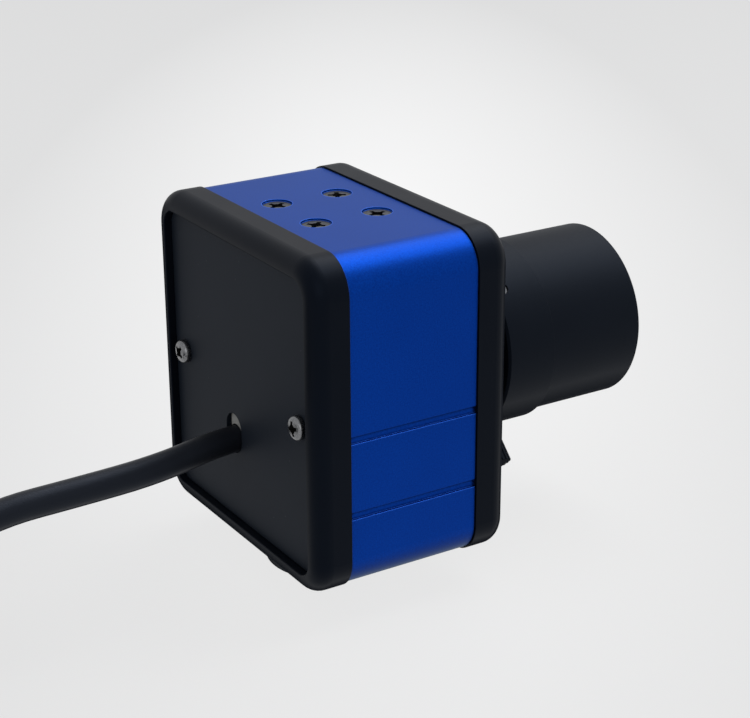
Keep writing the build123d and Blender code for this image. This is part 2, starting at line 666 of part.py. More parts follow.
def make_filter_holder():
    """Square plastic hood over the sensor, with the filter's seat at its front."""
    front = SENSOR_BOARD_FRONT - HOLDER_H
    outer = Rectangle(HOLDER_SIZE, HOLDER_SIZE)
    inner = Rectangle(HOLDER_SIZE - 2 * HOLDER_WALL, HOLDER_SIZE - 2 * HOLDER_WALL)
    holder = prism(outer, SENSOR_BOARD_FRONT, front)
    holder -= prism(inner, SENSOR_BOARD_FRONT, front + HOLDER_WALL)
    holder -= prism(Rectangle(SENSOR_WINDOW, SENSOR_WINDOW), SENSOR_BOARD_FRONT, front)
    seat = Rectangle(SENSOR_WINDOW + HOLDER_WALL, SENSOR_WINDOW + HOLDER_WALL)
    return holder - prism(seat, front + FILTER_T, front)


def make_filter():
    side = SENSOR_WINDOW + HOLDER_WALL - 2 * GLASS_CLEAR
    front = SENSOR_BOARD_FRONT - HOLDER_H
    return prism(Rectangle(side, side), front + FILTER_T, front)


def make_sensor():
    package = prism(Rectangle(SENSOR_PACKAGE, SENSOR_PACKAGE), SENSOR_BOARD_FRONT, SENSOR_FACE)
    window = prism(Rectangle(SENSOR_WINDOW, SENSOR_WINDOW), SENSOR_FACE + SENSOR_WINDOW_T, SENSOR_FACE)
    return package - window


def make_sensor_window():
    side = SENSOR_WINDOW - 2 * GLASS_CLEAR
    return prism(Rectangle(side, side), SENSOR_FACE + SENSOR_WINDOW_T, SENSOR_FACE)


def board_block(x, z, width, height, rear, front):
    return prism(Pos(x, z) * Rectangle(width, height), rear, front)


def make_cable_socket():
    """White connector on the rear board, open at the back for the wires."""
    block = board_block(CABLE_X, -CABLE_DROP, SOCKET_W, SOCKET_D, SOCKET_BACK, MAIN_BOARD_BACK)
    pocket = board_block(CABLE_X, -CABLE_DROP, SOCKET_W - 2 * SOCKET_WALL, SOCKET_D - 2 * SOCKET_WALL,
                         SOCKET_BACK, SOCKET_BACK - SOCKET_POCKET)
    return block - pocket


def make_wires():
    """Four thin wires between the connector and the end of the cable's jacket."""
    placed = []
    for x, z in grid(WIRE_PITCH, WIRE_PITCH):
        spot = Pos(CABLE_X + x, z - CABLE_DROP)
        placed.append(prism(spot * Circle(WIRE_R), CABLE_START, SOCKET_BACK - SOCKET_POCKET))
    return placed


def make_inner_tie():
    """Nylon tie round the cable behind the rear plate, with its head up in the plate's slot."""
    rear = PLATE_BACK - TIE_BACK
    hole = Circle(CABLE_D / 2 + TURN_CLEAR)
    place = Pos(CABLE_X, -CABLE_DROP)
    band = place * (Circle(CABLE_D / 2 + TURN_CLEAR + TIE_T) - hole)
    side = place * Pos(TIE_HEAD_SIDE - SLOT_R, TIE_HEAD_UP + SLOT_R) * Rectangle(2 * SLOT_R, 2 * SLOT_R)
    head = (cable_slot(SLOT_R - SEAT_CLEAR) & side) - place * hole
    return prism(band, rear, rear - TIE_W) + prism(head, PLATE_BACK + TIE_HEAD_OUT, rear - TIE_W)


# Cable

def tube(route):
    """Round tube along straight runs joined by arcs as large as the runs allow."""
    points = [Vector(*p) for p in route]
    runs = [(b - a) for a, b in zip(points, points[1:])]
    radii = []
    for before, after in zip(runs, runs[1:]):
        turn = radians(before.get_angle(after))
        radii.append(0.45 * min(before.length, after.length) / tan(turn / 2))
    print("cable radii", [round(r, 1) for r in radii])
    path = FilletPolyline(*points, radius=radii)
    section = Plane(origin=path @ 0, z_dir=path % 0) * Circle(CABLE_D / 2)
    solid = sweep(section, path=path)
    by_length = section.area * path.length
    print("cable volume", round(solid.volume, 1), "of", round(by_length, 1), "length", round(path.length, 1))
    return solid


def make_coil():
    """Outer shape of the wound cable."""
    half = COIL_PITCH * (COIL_TURNS_WIDE - 1) / 2 + CABLE_D / 2
    section = Plane.XZ * (Pos(COIL_MID_D / 2, COIL_TOP / 2) * RectangleRounded(2 * half, COIL_TOP, COIL_EDGE))
    return Pos(COIL_X, COIL_Y, 0) * revolve(section, axis=Axis.Z)


def make_coil_tie():
    """Tie round the coil's section, on the side away from the camera body."""
    half = COIL_PITCH * (COIL_TURNS_WIDE - 1) / 2 + CABLE_D / 2 + SEAT_CLEAR
    height = COIL_TOP + SEAT_CLEAR
    outer = Pos(0, height / 2 + COIL_TIE_T / 2) * RectangleRounded(
        2 * half + 2 * COIL_TIE_T, height + COIL_TIE_T, COIL_EDGE + COIL_TIE_T)
    inner = Pos(0, height / 2) * RectangleRounded(2 * half, height, COIL_EDGE)
    strap = extrude(Plane.YZ * (outer - inner), amount=COIL_TIE_W / 2, both=True)
    return Pos(COIL_X, COIL_Y + COIL_MID_D / 2, 0) * strap


def make_plug_body():
    """Moulded grip of the plug, lying flat."""
    body = Box(PLUG_W, PLUG_L, PLUG_H, align=(Align.CENTER, Align.MAX, Align.MIN))
    body = fillet(body.edges().filter_by(Axis.Y), PLUG_R)
    return Pos(PLUG_X, PLUG_REAR, 0) * body


def make_plug_shell():
    """Folded metal shell of a flat host plug, with its two latch windows."""
    outer = Rectangle(SHELL_W, SHELL_H) - Rectangle(SHELL_W - 2 * SHELL_WALL, SHELL_H - 2 * SHELL_WALL)
    plane = Plane(origin=(PLUG_X, PLUG_FRONT, PLUG_Z), x_dir=(1, 0, 0), z_dir=(0, -1, 0))
    shell = extrude(plane * outer, amount=SHELL_L)
    for x in (-SHELL_W / 4, SHELL_W / 4):
        window = Box(PLUG_WINDOW, PLUG_WINDOW, SHELL_H, align=(Align.CENTER, Align.CENTER, Align.MIN))
        shell -= Pos(PLUG_X + x, PLUG_FRONT - PLUG_WINDOW_BACK, PLUG_Z) * window
    return shell


def make_plug_tongue():
    """Insulating tongue with the contacts, inside the shell's lower half."""
    width = SHELL_W - 2 * SHELL_WALL - 2 * SEAT_CLEAR
    tongue = Box(width, SHELL_L - TONGUE_SHORT, TONGUE_H, align=(Align.CENTER, Align.MAX, Align.MIN))
    return Pos(PLUG_X, PLUG_FRONT, PLUG_Z - SHELL_H / 2 + SHELL_WALL + SEAT_CLEAR) * tongue


def save(name, *solids):
    shape = solids[0] if len(solids) == 1 else Compound(children=list(solids))
    export_step(shape, f"parts/{name}.step")


def screws_at(z, item, place):
    return [place(x, y, z, item) for x, y in grid(CSK_DX, CSK_DY)]


os.makedirs("parts", exist_ok=True)

rear_frame = make_rear_frame()

save("body_sleeve", make_sleeve())
save("rear_frame", rear_frame)
save("front_frame", mirror(rear_frame, Plane.XZ))
save("rear_plate", make_rear_plate())
save("front_plate", make_front_plate())
save("rear_plate_screws", *plate_screws(1))
save("front_plate_screws", *plate_screws(-1))
save("top_nut_plate", make_nut_plate(TOP_NUT_Z))
save("bottom_nut_plate", make_nut_plate(BOSS_H + WALL))
save("top_screws", *screws_at(BODY_TOP - CSK_SINK, flat_screw(TOP_SCREW_LENGTH), upward))
save("tripod_boss", make_boss())
save("boss_screws", *screws_at(CSK_SINK, flat_screw(LOW_SCREW_LENGTH), downward))

save("mount_ring", make_mount_ring())
save("lens_body", make_lens_body())
save("iris_diaphragm", make_diaphragm())
save("iris_ring", make_iris_ring())
save("iris_lock_screw", make_thumbscrew())
save("focus_ring", make_focus_ring())
save("focus_ring_screw", make_grub_screw())
save("focus_snap_ring", make_snap_ring())
save("front_barrel", make_front_barrel())
save("front_element", glass(RIM_R, GLASS_SEAT, GLASS_SEAT - GLASS_T, INNER_DOME, FRONT_DOME))
save("front_lock_ring", make_lock_ring(RIM_R, GLASS_SEAT - GLASS_T, THROAT, THROAT))
save("middle_element", glass(INNER_R, MIDDLE_REAR, INNER_SEAT, INNER_DOME, INNER_DOME))
save("lens_spacer", ring(INNER_R, INNER_R - SPACER_WALL, SPACER_REAR, MIDDLE_REAR))
save("rear_element", glass(INNER_R, REAR_GLASS_REAR, SPACER_REAR, INNER_DOME, INNER_DOME))
save("rear_lock_ring", make_lock_ring(INNER_R, LOCK_REAR, REAR_GLASS_REAR, LOCK_REAR))

save("board_standoffs", *make_standoffs())
save("sensor_board", board(SENSOR_BOARD_FRONT))
save("image_sensor", make_sensor())
save("sensor_window", make_sensor_window())
save("filter_holder", make_filter_holder())
save("cut_filter", make_filter())
save("board_spacers", *posts(MAIN_BOARD_FRONT, SENSOR_BOARD_BACK))
save("interface_board", board(MAIN_BOARD_FRONT))
save("board_screws", *board_screws())
header_z = BOARD_H / 2 - HEADER_IN
memory_z = -(CHIP + MEMORY_W) / 2 - CHIP_GAP
chip_front = MAIN_BOARD_FRONT - CHIP_T
save("board_header", board_block(0, header_z, HEADER_L, HEADER_W, MID_GAP, SENSOR_BOARD_BACK))
save("board_receptacle", board_block(0, header_z, HEADER_L, HEADER_W, MAIN_BOARD_FRONT, MID_GAP))
save("processor_chip", board_block(0, 0, CHIP, CHIP, MAIN_BOARD_FRONT, chip_front))
save("memory_chip", board_block(0, memory_z, CHIP, MEMORY_W, MAIN_BOARD_FRONT, chip_front))
save("cable_socket", make_cable_socket())
save("cable_wires", *make_wires())
save("inner_tie", make_inner_tie())

save("cable", tube(CABLE_ROUTE))
save("cable_coil", make_coil())
save("coil_tie", make_coil_tie())
save("cable_tail", tube(TAIL_ROUTE))
save("plug_body", make_plug_body())
save("plug_shell", make_plug_shell())
save("plug_tongue", make_plug_tongue())
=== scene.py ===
"""Finishes, small fasteners, cable and studio for the box camera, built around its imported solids."""
import json
from math import copysign, cos, pi, radians, sin

import bmesh
import bpy
from mathutils import Matrix, Vector


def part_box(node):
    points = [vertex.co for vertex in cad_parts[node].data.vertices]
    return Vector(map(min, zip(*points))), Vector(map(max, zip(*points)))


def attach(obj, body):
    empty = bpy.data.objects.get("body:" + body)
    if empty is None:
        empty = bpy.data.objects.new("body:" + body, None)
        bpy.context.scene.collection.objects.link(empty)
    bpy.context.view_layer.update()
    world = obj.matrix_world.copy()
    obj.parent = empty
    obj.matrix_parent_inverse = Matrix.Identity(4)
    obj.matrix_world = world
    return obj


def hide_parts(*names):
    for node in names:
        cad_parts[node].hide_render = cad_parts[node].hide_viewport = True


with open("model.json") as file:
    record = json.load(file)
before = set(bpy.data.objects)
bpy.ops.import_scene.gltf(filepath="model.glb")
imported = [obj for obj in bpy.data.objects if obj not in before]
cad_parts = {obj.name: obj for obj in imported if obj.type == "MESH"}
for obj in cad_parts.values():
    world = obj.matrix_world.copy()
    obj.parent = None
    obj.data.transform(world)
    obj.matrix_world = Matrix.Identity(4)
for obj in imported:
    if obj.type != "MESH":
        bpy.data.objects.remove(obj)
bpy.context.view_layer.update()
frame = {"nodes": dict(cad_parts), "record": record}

MM = 0.001
NODES = frame["nodes"]
ROOT = "housing"
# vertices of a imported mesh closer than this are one
SAME_PLACE = 0.001 * MM


# Colour and node helpers

def colour(code):
    """Linear colour from an sRGB hex code."""
    channels = [int(code[k:k + 2], 16) / 255 for k in (1, 3, 5)]
    linear = [c / 12.92 if c <= 0.04045 else ((c + 0.055) / 1.055) ** 2.4 for c in channels]
    return (*linear, 1.0)


def add(tree, kind, inputs=None, **settings):
    """Add a node with its settings. Inputs are named or numbered, and hold a value or a node's output."""
    made = tree.nodes.new("ShaderNode" + kind)
    for name, value in settings.items():
        setattr(made, name, value)
    for key, value in (inputs or {}).items():
        if isinstance(value, bpy.types.NodeSocket):
            tree.links.new(value, made.inputs[key])
        else:
            made.inputs[key].default_value = value
    return made


def finish_named(name, **settings):
    """New material whose one surface shader has these plain settings."""
    made = bpy.data.materials.new(name)
    made.use_nodes = True
    tree = made.node_tree
    shader = tree.nodes["Principled BSDF"]
    for key, value in settings.items():
        shader.inputs[key.replace("_", " ")].default_value = value
    return made, tree, shader


def per_metre(size_mm):
    """Texture scale that gives one feature each size_mm."""
    # the render has about 6 pixels a mm, so a finer grain is drawn as coarse as 0.2 to 0.4 mm to show
    return 1 / (size_mm * MM)


# Finishes

# radius to which shading rounds an edge
EDGE_SOFTNESS = 0.09 * MM
# widths of the painted highlight along edges and of the crevice that is painted darker
EDGE_HIGHLIGHT_WIDTH = 0.3 * MM
CREVICE_WIDTH = 0.8 * MM
# how far upwards a crevice's open side is sought for its painted shade
SKYWARD = (0.0, 0.0, 0.6)


def dull_edge_on(tree, shader, gloss):
    """Matt black loses its gloss where sides and underside are seen edge on, and keeps it on top."""
    rise = add(tree, "SeparateXYZ", {"Vector": add(tree, "NewGeometry").outputs["Normal"]})
    below = add(tree, "MapRange", {"Value": rise.outputs["Z"], "From Min": 0.5, "From Max": 0.0})
    facing = add(tree, "LayerWeight", {"Blend": 0.5})
    edge_on = add(tree, "MapRange", {"Value": facing.outputs["Facing"], "From Min": 0.54, "From Max": 0.78})
    lost = add(tree, "Math", {0: below.outputs["Result"], 1: edge_on.outputs["Result"]},
               operation="MULTIPLY")
    dulled = add(tree, "MapRange", {"Value": lost.outputs[0], "To Min": gloss, "To Max": 1.0})
    tree.links.new(dulled.outputs["Result"], shader.inputs["Roughness"])


def painted_edge_highlight(tree):
    """1 along the edges that face up or outwards, where a lighter blue is painted as a highlight, 0 on the
    flat faces.
    """
    rounded = add(tree, "Bevel", {"Radius": EDGE_HIGHLIGHT_WIDTH}, samples=8)
    flat = add(tree, "NewGeometry").outputs["Normal"]
    lean = add(tree, "VectorMath", {0: rounded.outputs["Normal"], 1: flat}, operation="DOT_PRODUCT")
    near = add(tree, "MapRange", {"Value": lean.outputs["Value"], "From Min": 0.995, "From Max": 0.9})
    rise = add(tree, "SeparateXYZ", {"Vector": rounded.outputs["Normal"]})
    upward = add(tree, "MapRange", {"Value": rise.outputs["Z"], "From Min": -0.2, "From Max": 0.15})
    return add(tree, "Math", {0: near.outputs["Result"], 1: upward.outputs["Result"]},
               operation="MULTIPLY").outputs[0]


def painted_shade(tree):
    """Factor that paints shade into the dye's colour: darker in grooves and round screw heads, and on the
    underside.
    """
    skyward = add(tree, "VectorMath", {0: add(tree, "NewGeometry").outputs["Normal"], 1: SKYWARD},
                  operation="ADD")
    crevice = add(tree, "AmbientOcclusion", {"Distance": CREVICE_WIDTH, "Normal": skyward.outputs["Vector"]},
                  samples=8)
    # painted shade: darker where nearby surfaces close the crevice in
    crevice_painted_shade = add(tree, "MapRange", {"Value": crevice.outputs["AO"], "From Min": 0.4, "From Max": 0.88,
                                    "To Min": 0.05, "To Max": 1.0})
    rise = add(tree, "SeparateXYZ", {"Vector": add(tree, "NewGeometry").outputs["Normal"]})
    # painted shade: darker on faces that look down
    underside = add(tree, "MapRange", {"Value": rise.outputs["Z"], "From Min": -0.8, "From Max": -0.1,
                                       "To Min": 0.35, "To Max": 1.0})
    return add(tree, "Math", {0: crevice_painted_shade.outputs["Result"], 1: underside.outputs["Result"]},
               operation="MULTIPLY").outputs[0]


def blasted_anodised_aluminium():
    """Dyed anodised aluminium, bead blasted first: satin metal with a fine grain, painted highlights along
    its upper edges and painted shade in its crevices and underside.
    """
    made, tree, shader = finish_named("blasted_anodised_aluminium", Metallic=1.0,
                                      Specular_Tint=colour("#ECF9FF"))
    place = add(tree, "TexCoord").outputs["Object"]
    grain = add(tree, "TexNoise", {"Vector": place, "Scale": per_metre(0.25), "Detail": 3.0,
                                   "Roughness": 0.65})
    cloud = add(tree, "TexNoise", {"Vector": place, "Scale": per_metre(14), "Detail": 2.0})
    dye = add(tree, "ValToRGB", {"Fac": grain.outputs["Fac"]})
    deep, pale = dye.color_ramp.elements
    deep.position, deep.color = 0.3, colour("#063086")
    pale.position, pale.color = 0.72, colour("#0843AA")
    patchy = add(tree, "MixRGB", {"Fac": cloud.outputs["Fac"], "Color1": dye.outputs["Color"],
                                  "Color2": colour("#052878")})
    dyed = add(tree, "MixRGB", {"Fac": 0.35, "Color1": dye.outputs["Color"],
                                "Color2": patchy.outputs["Color"]})
    # painted shade from the crevices and the underside darkens the dye
    shaded = add(tree, "MixRGB", {"Fac": 1.0, "Color1": dyed.outputs["Color"], "Color2": painted_shade(tree)},
                 blend_type="MULTIPLY")
    # painted highlight: a lighter blue along the edges that face up
    base = add(tree, "MixRGB", {"Fac": painted_edge_highlight(tree), "Color1": shaded.outputs["Color"],
                                "Color2": colour("#2E6AE0")})
    tree.links.new(base.outputs["Color"], shader.inputs["Base Color"])
    gloss = add(tree, "MapRange", {"Value": grain.outputs["Fac"], "To Min": 0.38, "To Max": 0.5})
    tree.links.new(gloss.outputs["Result"], shader.inputs["Roughness"])
    edge = add(tree, "Bevel", {"Radius": EDGE_SOFTNESS}, samples=6)
    blast = add(tree, "Bump", {"Strength": 0.35, "Distance": 0.02 * MM, "Height": grain.outputs["Fac"],
                               "Normal": edge.outputs["Normal"]})
    tree.links.new(blast.outputs["Normal"], shader.inputs["Normal"])
    return made


def moulded_abs():
    """Black ABS from a fine-etched mould: even, slightly soft sheen with a faint pebble."""
    made, tree, shader = finish_named("moulded_abs", IOR=1.53, Specular_IOR_Level=0.1,
                                      Specular_Tint=colour("#A6BEE6"))
    place = add(tree, "TexCoord").outputs["Object"]
    pebble = add(tree, "TexNoise", {"Vector": place, "Scale": per_metre(0.28), "Detail": 2.0})
    cloud = add(tree, "TexNoise", {"Vector": place, "Scale": per_metre(9), "Detail": 3.0})
    shade = add(tree, "MixRGB", {"Fac": cloud.outputs["Fac"], "Color1": colour("#080B11"),
                                 "Color2": colour("#0B0F16")})
    tree.links.new(shade.outputs["Color"], shader.inputs["Base Color"])
    gloss = add(tree, "MapRange", {"Value": cloud.outputs["Fac"], "To Min": 0.38, "To Max": 0.46})
    dull_edge_on(tree, shader, gloss.outputs["Result"])
    edge = add(tree, "Bevel", {"Radius": EDGE_SOFTNESS}, samples=6)
    bump = add(tree, "Bump", {"Strength": 0.3, "Distance": 0.012 * MM, "Height": pebble.outputs["Fac"],
                              "Normal": edge.outputs["Normal"]})
    tree.links.new(bump.outputs["Normal"], shader.inputs["Normal"])
    return made


def powder_coated_sheet():
    """Matt black powder coat on a flat plate: dull, with a fine orange peel and a few specks of dust."""
    made, tree, shader = finish_named("powder_coated_sheet", Roughness=0.55, IOR=1.5, Specular_IOR_Level=0.1,
                                      Specular_Tint=colour("#C4D4F2"))
    place = add(tree, "TexCoord").outputs["Object"]
    peel = add(tree, "TexNoise", {"Vector": place, "Scale": per_metre(0.4), "Detail": 2.0})
    cloud = add(tree, "TexNoise", {"Vector": place, "Scale": per_metre(12), "Detail": 3.0})
    shade = add(tree, "MixRGB", {"Fac": cloud.outputs["Fac"], "Color1": colour("#191E25"),
                                 "Color2": colour("#1D222A")})
    dust = add(tree, "TexVoronoi", {"Vector": place, "Scale": per_metre(2.6), "Randomness": 1.0})
    speck = add(tree, "MapRange", {"Value": dust.outputs["Distance"], "From Min": 0.03, "From Max": 0.05,
                                   "To Min": 0.12, "To Max": 0.0})
    dusty = add(tree, "MixRGB", {"Fac": speck.outputs["Result"], "Color1": shade.outputs["Color"],
                                 "Color2": colour("#8E9096")})
    tree.links.new(dusty.outputs["Color"], shader.inputs["Base Color"])
    edge = add(tree, "Bevel", {"Radius": EDGE_SOFTNESS}, samples=6)
    bump = add(tree, "Bump", {"Strength": 0.35, "Distance": 0.015 * MM, "Height": peel.outputs["Fac"],
                              "Normal": edge.outputs["Normal"]})
    tree.links.new(bump.outputs["Normal"], shader.inputs["Normal"])
    return made


def black_anodised_turning():
    """Turned aluminium, anodised matt black: soft grey sheen along the top, faint tool lines round it."""
    made, tree, shader = finish_named("black_anodised_turning", IOR=1.6, Specular_IOR_Level=0.11,
                                      Specular_Tint=colour("#A8C4EE"))
    place = add(tree, "TexCoord").outputs["Object"]
    stretched = add(tree, "Mapping", {"Vector": place, "Scale": (0.02, 1.0, 0.02)})
    lines = add(tree, "TexNoise", {"Vector": stretched.outputs["Vector"], "Scale": per_metre(0.18),
                                   "Detail": 2.0})
    grain = add(tree, "TexNoise", {"Vector": place, "Scale": per_metre(0.3), "Detail": 2.0})
    cloud = add(tree, "TexNoise", {"Vector": place, "Scale": per_metre(8), "Detail": 3.0})
    shade = add(tree, "MixRGB", {"Fac": cloud.outputs["Fac"], "Color1": colour("#0A0D12"),
                                 "Color2": colour("#0F1218")})
    tree.links.new(shade.outputs["Color"], shader.inputs["Base Color"])
    gloss = add(tree, "MapRange", {"Value": grain.outputs["Fac"], "To Min": 0.48, "To Max": 0.58})
    dull_edge_on(tree, shader, gloss.outputs["Result"])
    edge = add(tree, "Bevel", {"Radius": EDGE_SOFTNESS}, samples=6)
    turned = add(tree, "Bump", {"Strength": 0.2, "Distance": 0.006 * MM, "Height": lines.outputs["Fac"],
                                "Normal": edge.outputs["Normal"]})
    bump = add(tree, "Bump", {"Strength": 0.25, "Distance": 0.01 * MM, "Height": grain.outputs["Fac"],
                              "Normal": turned.outputs["Normal"]})
    tree.links.new(bump.outputs["Normal"], shader.inputs["Normal"])
    return made


def plated_metal(name, dark, light, roughness, scratch=0.25):
    """Plated or bare metal, tumbled or machined: bright, with fine scratches that break up the highlights."""
    made, tree, shader = finish_named(name, Metallic=1.0, Roughness=roughness)
    place = add(tree, "TexCoord").outputs["Object"]
    marks = add(tree, "TexNoise", {"Vector": place, "Scale": per_metre(0.5), "Detail": 6.0,
                                   "Distortion": 1.5})
    shade = add(tree, "MixRGB", {"Fac": marks.outputs["Fac"], "Color1": colour(dark),
                                 "Color2": colour(light)})
    tree.links.new(shade.outputs["Color"], shader.inputs["Base Color"])
    gloss = add(tree, "MapRange", {"Value": marks.outputs["Fac"], "To Min": roughness * 0.7,
                                   "To Max": roughness * 1.4})
    tree.links.new(gloss.outputs["Result"], shader.inputs["Roughness"])
    edge = add(tree, "Bevel", {"Radius": EDGE_SOFTNESS / 2}, samples=6)
    bump = add(tree, "Bump", {"Strength": scratch, "Distance": 0.02 * MM, "Height": marks.outputs["Fac"],
                              "Normal": edge.outputs["Normal"]})
    tree.links.new(bump.outputs["Normal"], shader.inputs["Normal"])
    return made


def coated_glass():
    """Optical glass with an anti-reflection coating: clear, with a dim violet and green reflection."""
    made, tree, shader = finish_named("coated_glass", Roughness=0.02, IOR=1.6, Transmission_Weight=1.0,
                                      Thin_Film_Thickness=430.0, Thin_Film_IOR=1.38)
    place = add(tree, "TexCoord").outputs["Object"]
    film = add(tree, "TexNoise", {"Vector": place, "Scale": per_metre(6), "Detail": 2.0})
    tint = add(tree, "MixRGB", {"Fac": film.outputs["Fac"], "Color1": colour("#E9F2F0"),
                                "Color2": colour("#F2F0FA")})
    tree.links.new(tint.outputs["Color"], shader.inputs["Base Color"])
    return made


def plain_plastic(name, dark, light, roughness, sheen=0.5):
    """Moulded plastic in one colour: a little uneven in shade, with the mould's fine grain."""
    made, tree, shader = finish_named(name, Roughness=roughness, IOR=1.5, Specular_IOR_Level=sheen)
    place = add(tree, "TexCoord").outputs["Object"]
    cloud = add(tree, "TexNoise", {"Vector": place, "Scale": per_metre(5), "Detail": 3.0})
    grain = add(tree, "TexNoise", {"Vector": place, "Scale": per_metre(0.3), "Detail": 2.0})
    shade = add(tree, "MixRGB", {"Fac": cloud.outputs["Fac"], "Color1": colour(dark),
                                 "Color2": colour(light)})
    tree.links.new(shade.outputs["Color"], shader.inputs["Base Color"])
    edge = add(tree, "Bevel", {"Radius": EDGE_SOFTNESS}, samples=4)
    bump = add(tree, "Bump", {"Strength": 0.25, "Distance": 0.015 * MM, "Height": grain.outputs["Fac"],
                              "Normal": edge.outputs["Normal"]})
    tree.links.new(bump.outputs["Normal"], shader.inputs["Normal"])
    return made


def circuit_board():
    """Green solder resist over copper: tracks show as a slightly lighter, slightly raised maze."""
    made, tree, shader = finish_named("circuit_board", Roughness=0.35, IOR=1.5)
    place = add(tree, "TexCoord").outputs["Object"]
    maze = add(tree, "TexVoronoi", {"Vector": place, "Scale": per_metre(1.2)}, distance="MANHATTAN",
               feature="DISTANCE_TO_EDGE")
    track = add(tree, "MapRange", {"Value": maze.outputs["Distance"], "From Min": 0.06, "From Max": 0.1})
    shade = add(tree, "MixRGB", {"Fac": track.outputs["Result"], "Color1": colour("#1E7A46"),
                                 "Color2": colour("#0F4F2C")})
    tree.links.new(shade.outputs["Color"], shader.inputs["Base Color"])
    bump = add(tree, "Bump", {"Strength": 0.4, "Distance": 0.035 * MM, "Height": track.outputs["Result"]})
    tree.links.new(bump.outputs["Normal"], shader.inputs["Normal"])
    return made


def pvc_jacket():
    """Black PVC cable jacket: extruded, half matt, with slow waves along it from the cores inside."""
    made, tree, shader = finish_named("pvc_jacket", IOR=1.53, Specular_IOR_Level=0.3,
                                      Specular_Tint=colour("#C2D2F0"))
    place = add(tree, "TexCoord").outputs["Object"]
    waves = add(tree, "TexNoise", {"Vector": place, "Scale": per_metre(5), "Detail": 3.0})
    skin = add(tree, "TexNoise", {"Vector": place, "Scale": per_metre(0.35), "Detail": 3.0})
    shade = add(tree, "MixRGB", {"Fac": waves.outputs["Fac"], "Color1": colour("#08090C"),
                                 "Color2": colour("#0D0E12")})
    tree.links.new(shade.outputs["Color"], shader.inputs["Base Color"])
    gloss = add(tree, "MapRange", {"Value": waves.outputs["Fac"], "To Min": 0.36, "To Max": 0.5})
    dull_edge_on(tree, shader, gloss.outputs["Result"])
    wavy = add(tree, "Bump", {"Strength": 0.35, "Distance": 0.15 * MM, "Height": waves.outputs["Fac"]})
    bump = add(tree, "Bump", {"Strength": 0.5, "Distance": 0.04 * MM, "Height": skin.outputs["Fac"],
                              "Normal": wavy.outputs["Normal"]})
    tree.links.new(bump.outputs["Normal"], shader.inputs["Normal"])
    return made


FINISHES = {
    "blue_anodised": blasted_anodised_aluminium(),
    "black_frame": moulded_abs(),
    "black_plate": powder_coated_sheet(),
    "black_lens": black_anodised_turning(),
    "bright_screw": plated_metal("nickel_plated_steel", "#545557", "#98999B", 0.26, scratch=0.5),
    "black_screw": plated_metal("black_zinc_steel", "#3C3D40", "#56585C", 0.38),
    "bare_metal": plated_metal("machined_aluminium", "#B4B6B8", "#D2D3D5", 0.3),
    "spring_steel": plated_metal("oiled_spring_steel", "#5A5B5E", "#7A7B7E", 0.3),
    "glass": coated_glass(),
    "board": circuit_board(),
    "chip": plain_plastic("epoxy_moulding", "#18191B", "#222326", 0.55),
    "black_nylon": plain_plastic("black_nylon", "#131415", "#1C1D1F", 0.45),
    "white_nylon": plain_plastic("natural_nylon", "#7C7C78", "#9A9993", 0.5),
    "wire": plain_plastic("wire_insulation", "#7A1512", "#A02220", 0.4),
    "cable_jacket": pvc_jacket(),
    "plug_shell": plated_metal("nickel_plated_sheet", "#B5B4B0", "#DAD8D3", 0.22, scratch=0.15),
}

# painted shade in a driver's recess, and the gold flash on a plug's contacts
PAINTED_RECESS_SHADE = plain_plastic("painted_recess_shade", "#050505", "#0C0C0C", 0.7, sheen=0.05)
GILDED_CONTACT = plated_metal("gilded_contact", "#B98A2E", "#E2B85A", 0.22)


def dress_solids():
    """Give each solid the finish that its material slot names."""
    for entry in frame["record"]["subparts"]:
        node = NODES[entry["node"]]
        for place in node.material_slots:
            place.material = FINISHES[entry["material_slot"]]


# Mesh helpers

def piece(name, mesh, slot, body=ROOT, replaces=(), finishes=()):
    """Show a mesh as a piece that rides on a body and stands for some solids. Without finishes it takes its
    slot's, and with them each face keeps its place in the list."""
    made = bpy.data.objects.new(name, mesh)
    bpy.context.scene.collection.objects.link(made)
    places = [face.material_index for face in mesh.polygons]
    mesh.materials.clear()
    for finish in finishes or (FINISHES[slot],):
        mesh.materials.append(finish)
    mesh.polygons.foreach_set("material_index", places if finishes else [0] * len(places))
    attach(made, body)
    if replaces:
        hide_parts(*replaces)
    return made


def smooth(mesh, angle):
    """Smooth shading that keeps edges sharper than the angle."""
    mesh.polygons.foreach_set("use_smooth", [True] * len(mesh.polygons))
    mesh.set_sharp_from_angle(angle=radians(angle))
    return mesh


def mesh_from(shape, name):
    """Mesh that holds a shape, which is used up."""
    mesh = bpy.data.meshes.new(name)
    shape.to_mesh(mesh)
    shape.free()
    return mesh


def ring(radius, z, columns):
    """Points round the Z axis at one height."""
    around = [2 * pi * k / columns for k in range(columns)]
    return [(radius * cos(angle), radius * sin(angle), z) for angle in around]


def turned_mesh(name, outline, columns=40):
    """Closed turned solid about +Z from its (radius, z) outline, which starts and ends on the axis."""
    shape = bmesh.new()
    rows = []
    for radius, z in outline:
        points = ring(radius, z, columns) if radius else [(0, 0, z)]
        rows.append([shape.verts.new(point) for point in points])
    for lower, upper in zip(rows, rows[1:]):
        for k in range(columns):
            n = (k + 1) % columns
            corners = [lower[k % len(lower)], lower[n % len(lower)],
                       upper[n % len(upper)], upper[k % len(upper)]]
            shape.faces.new(list(dict.fromkeys(corners)))
    bmesh.ops.recalc_face_normals(shape, faces=shape.faces)
    return mesh_from(shape, name)


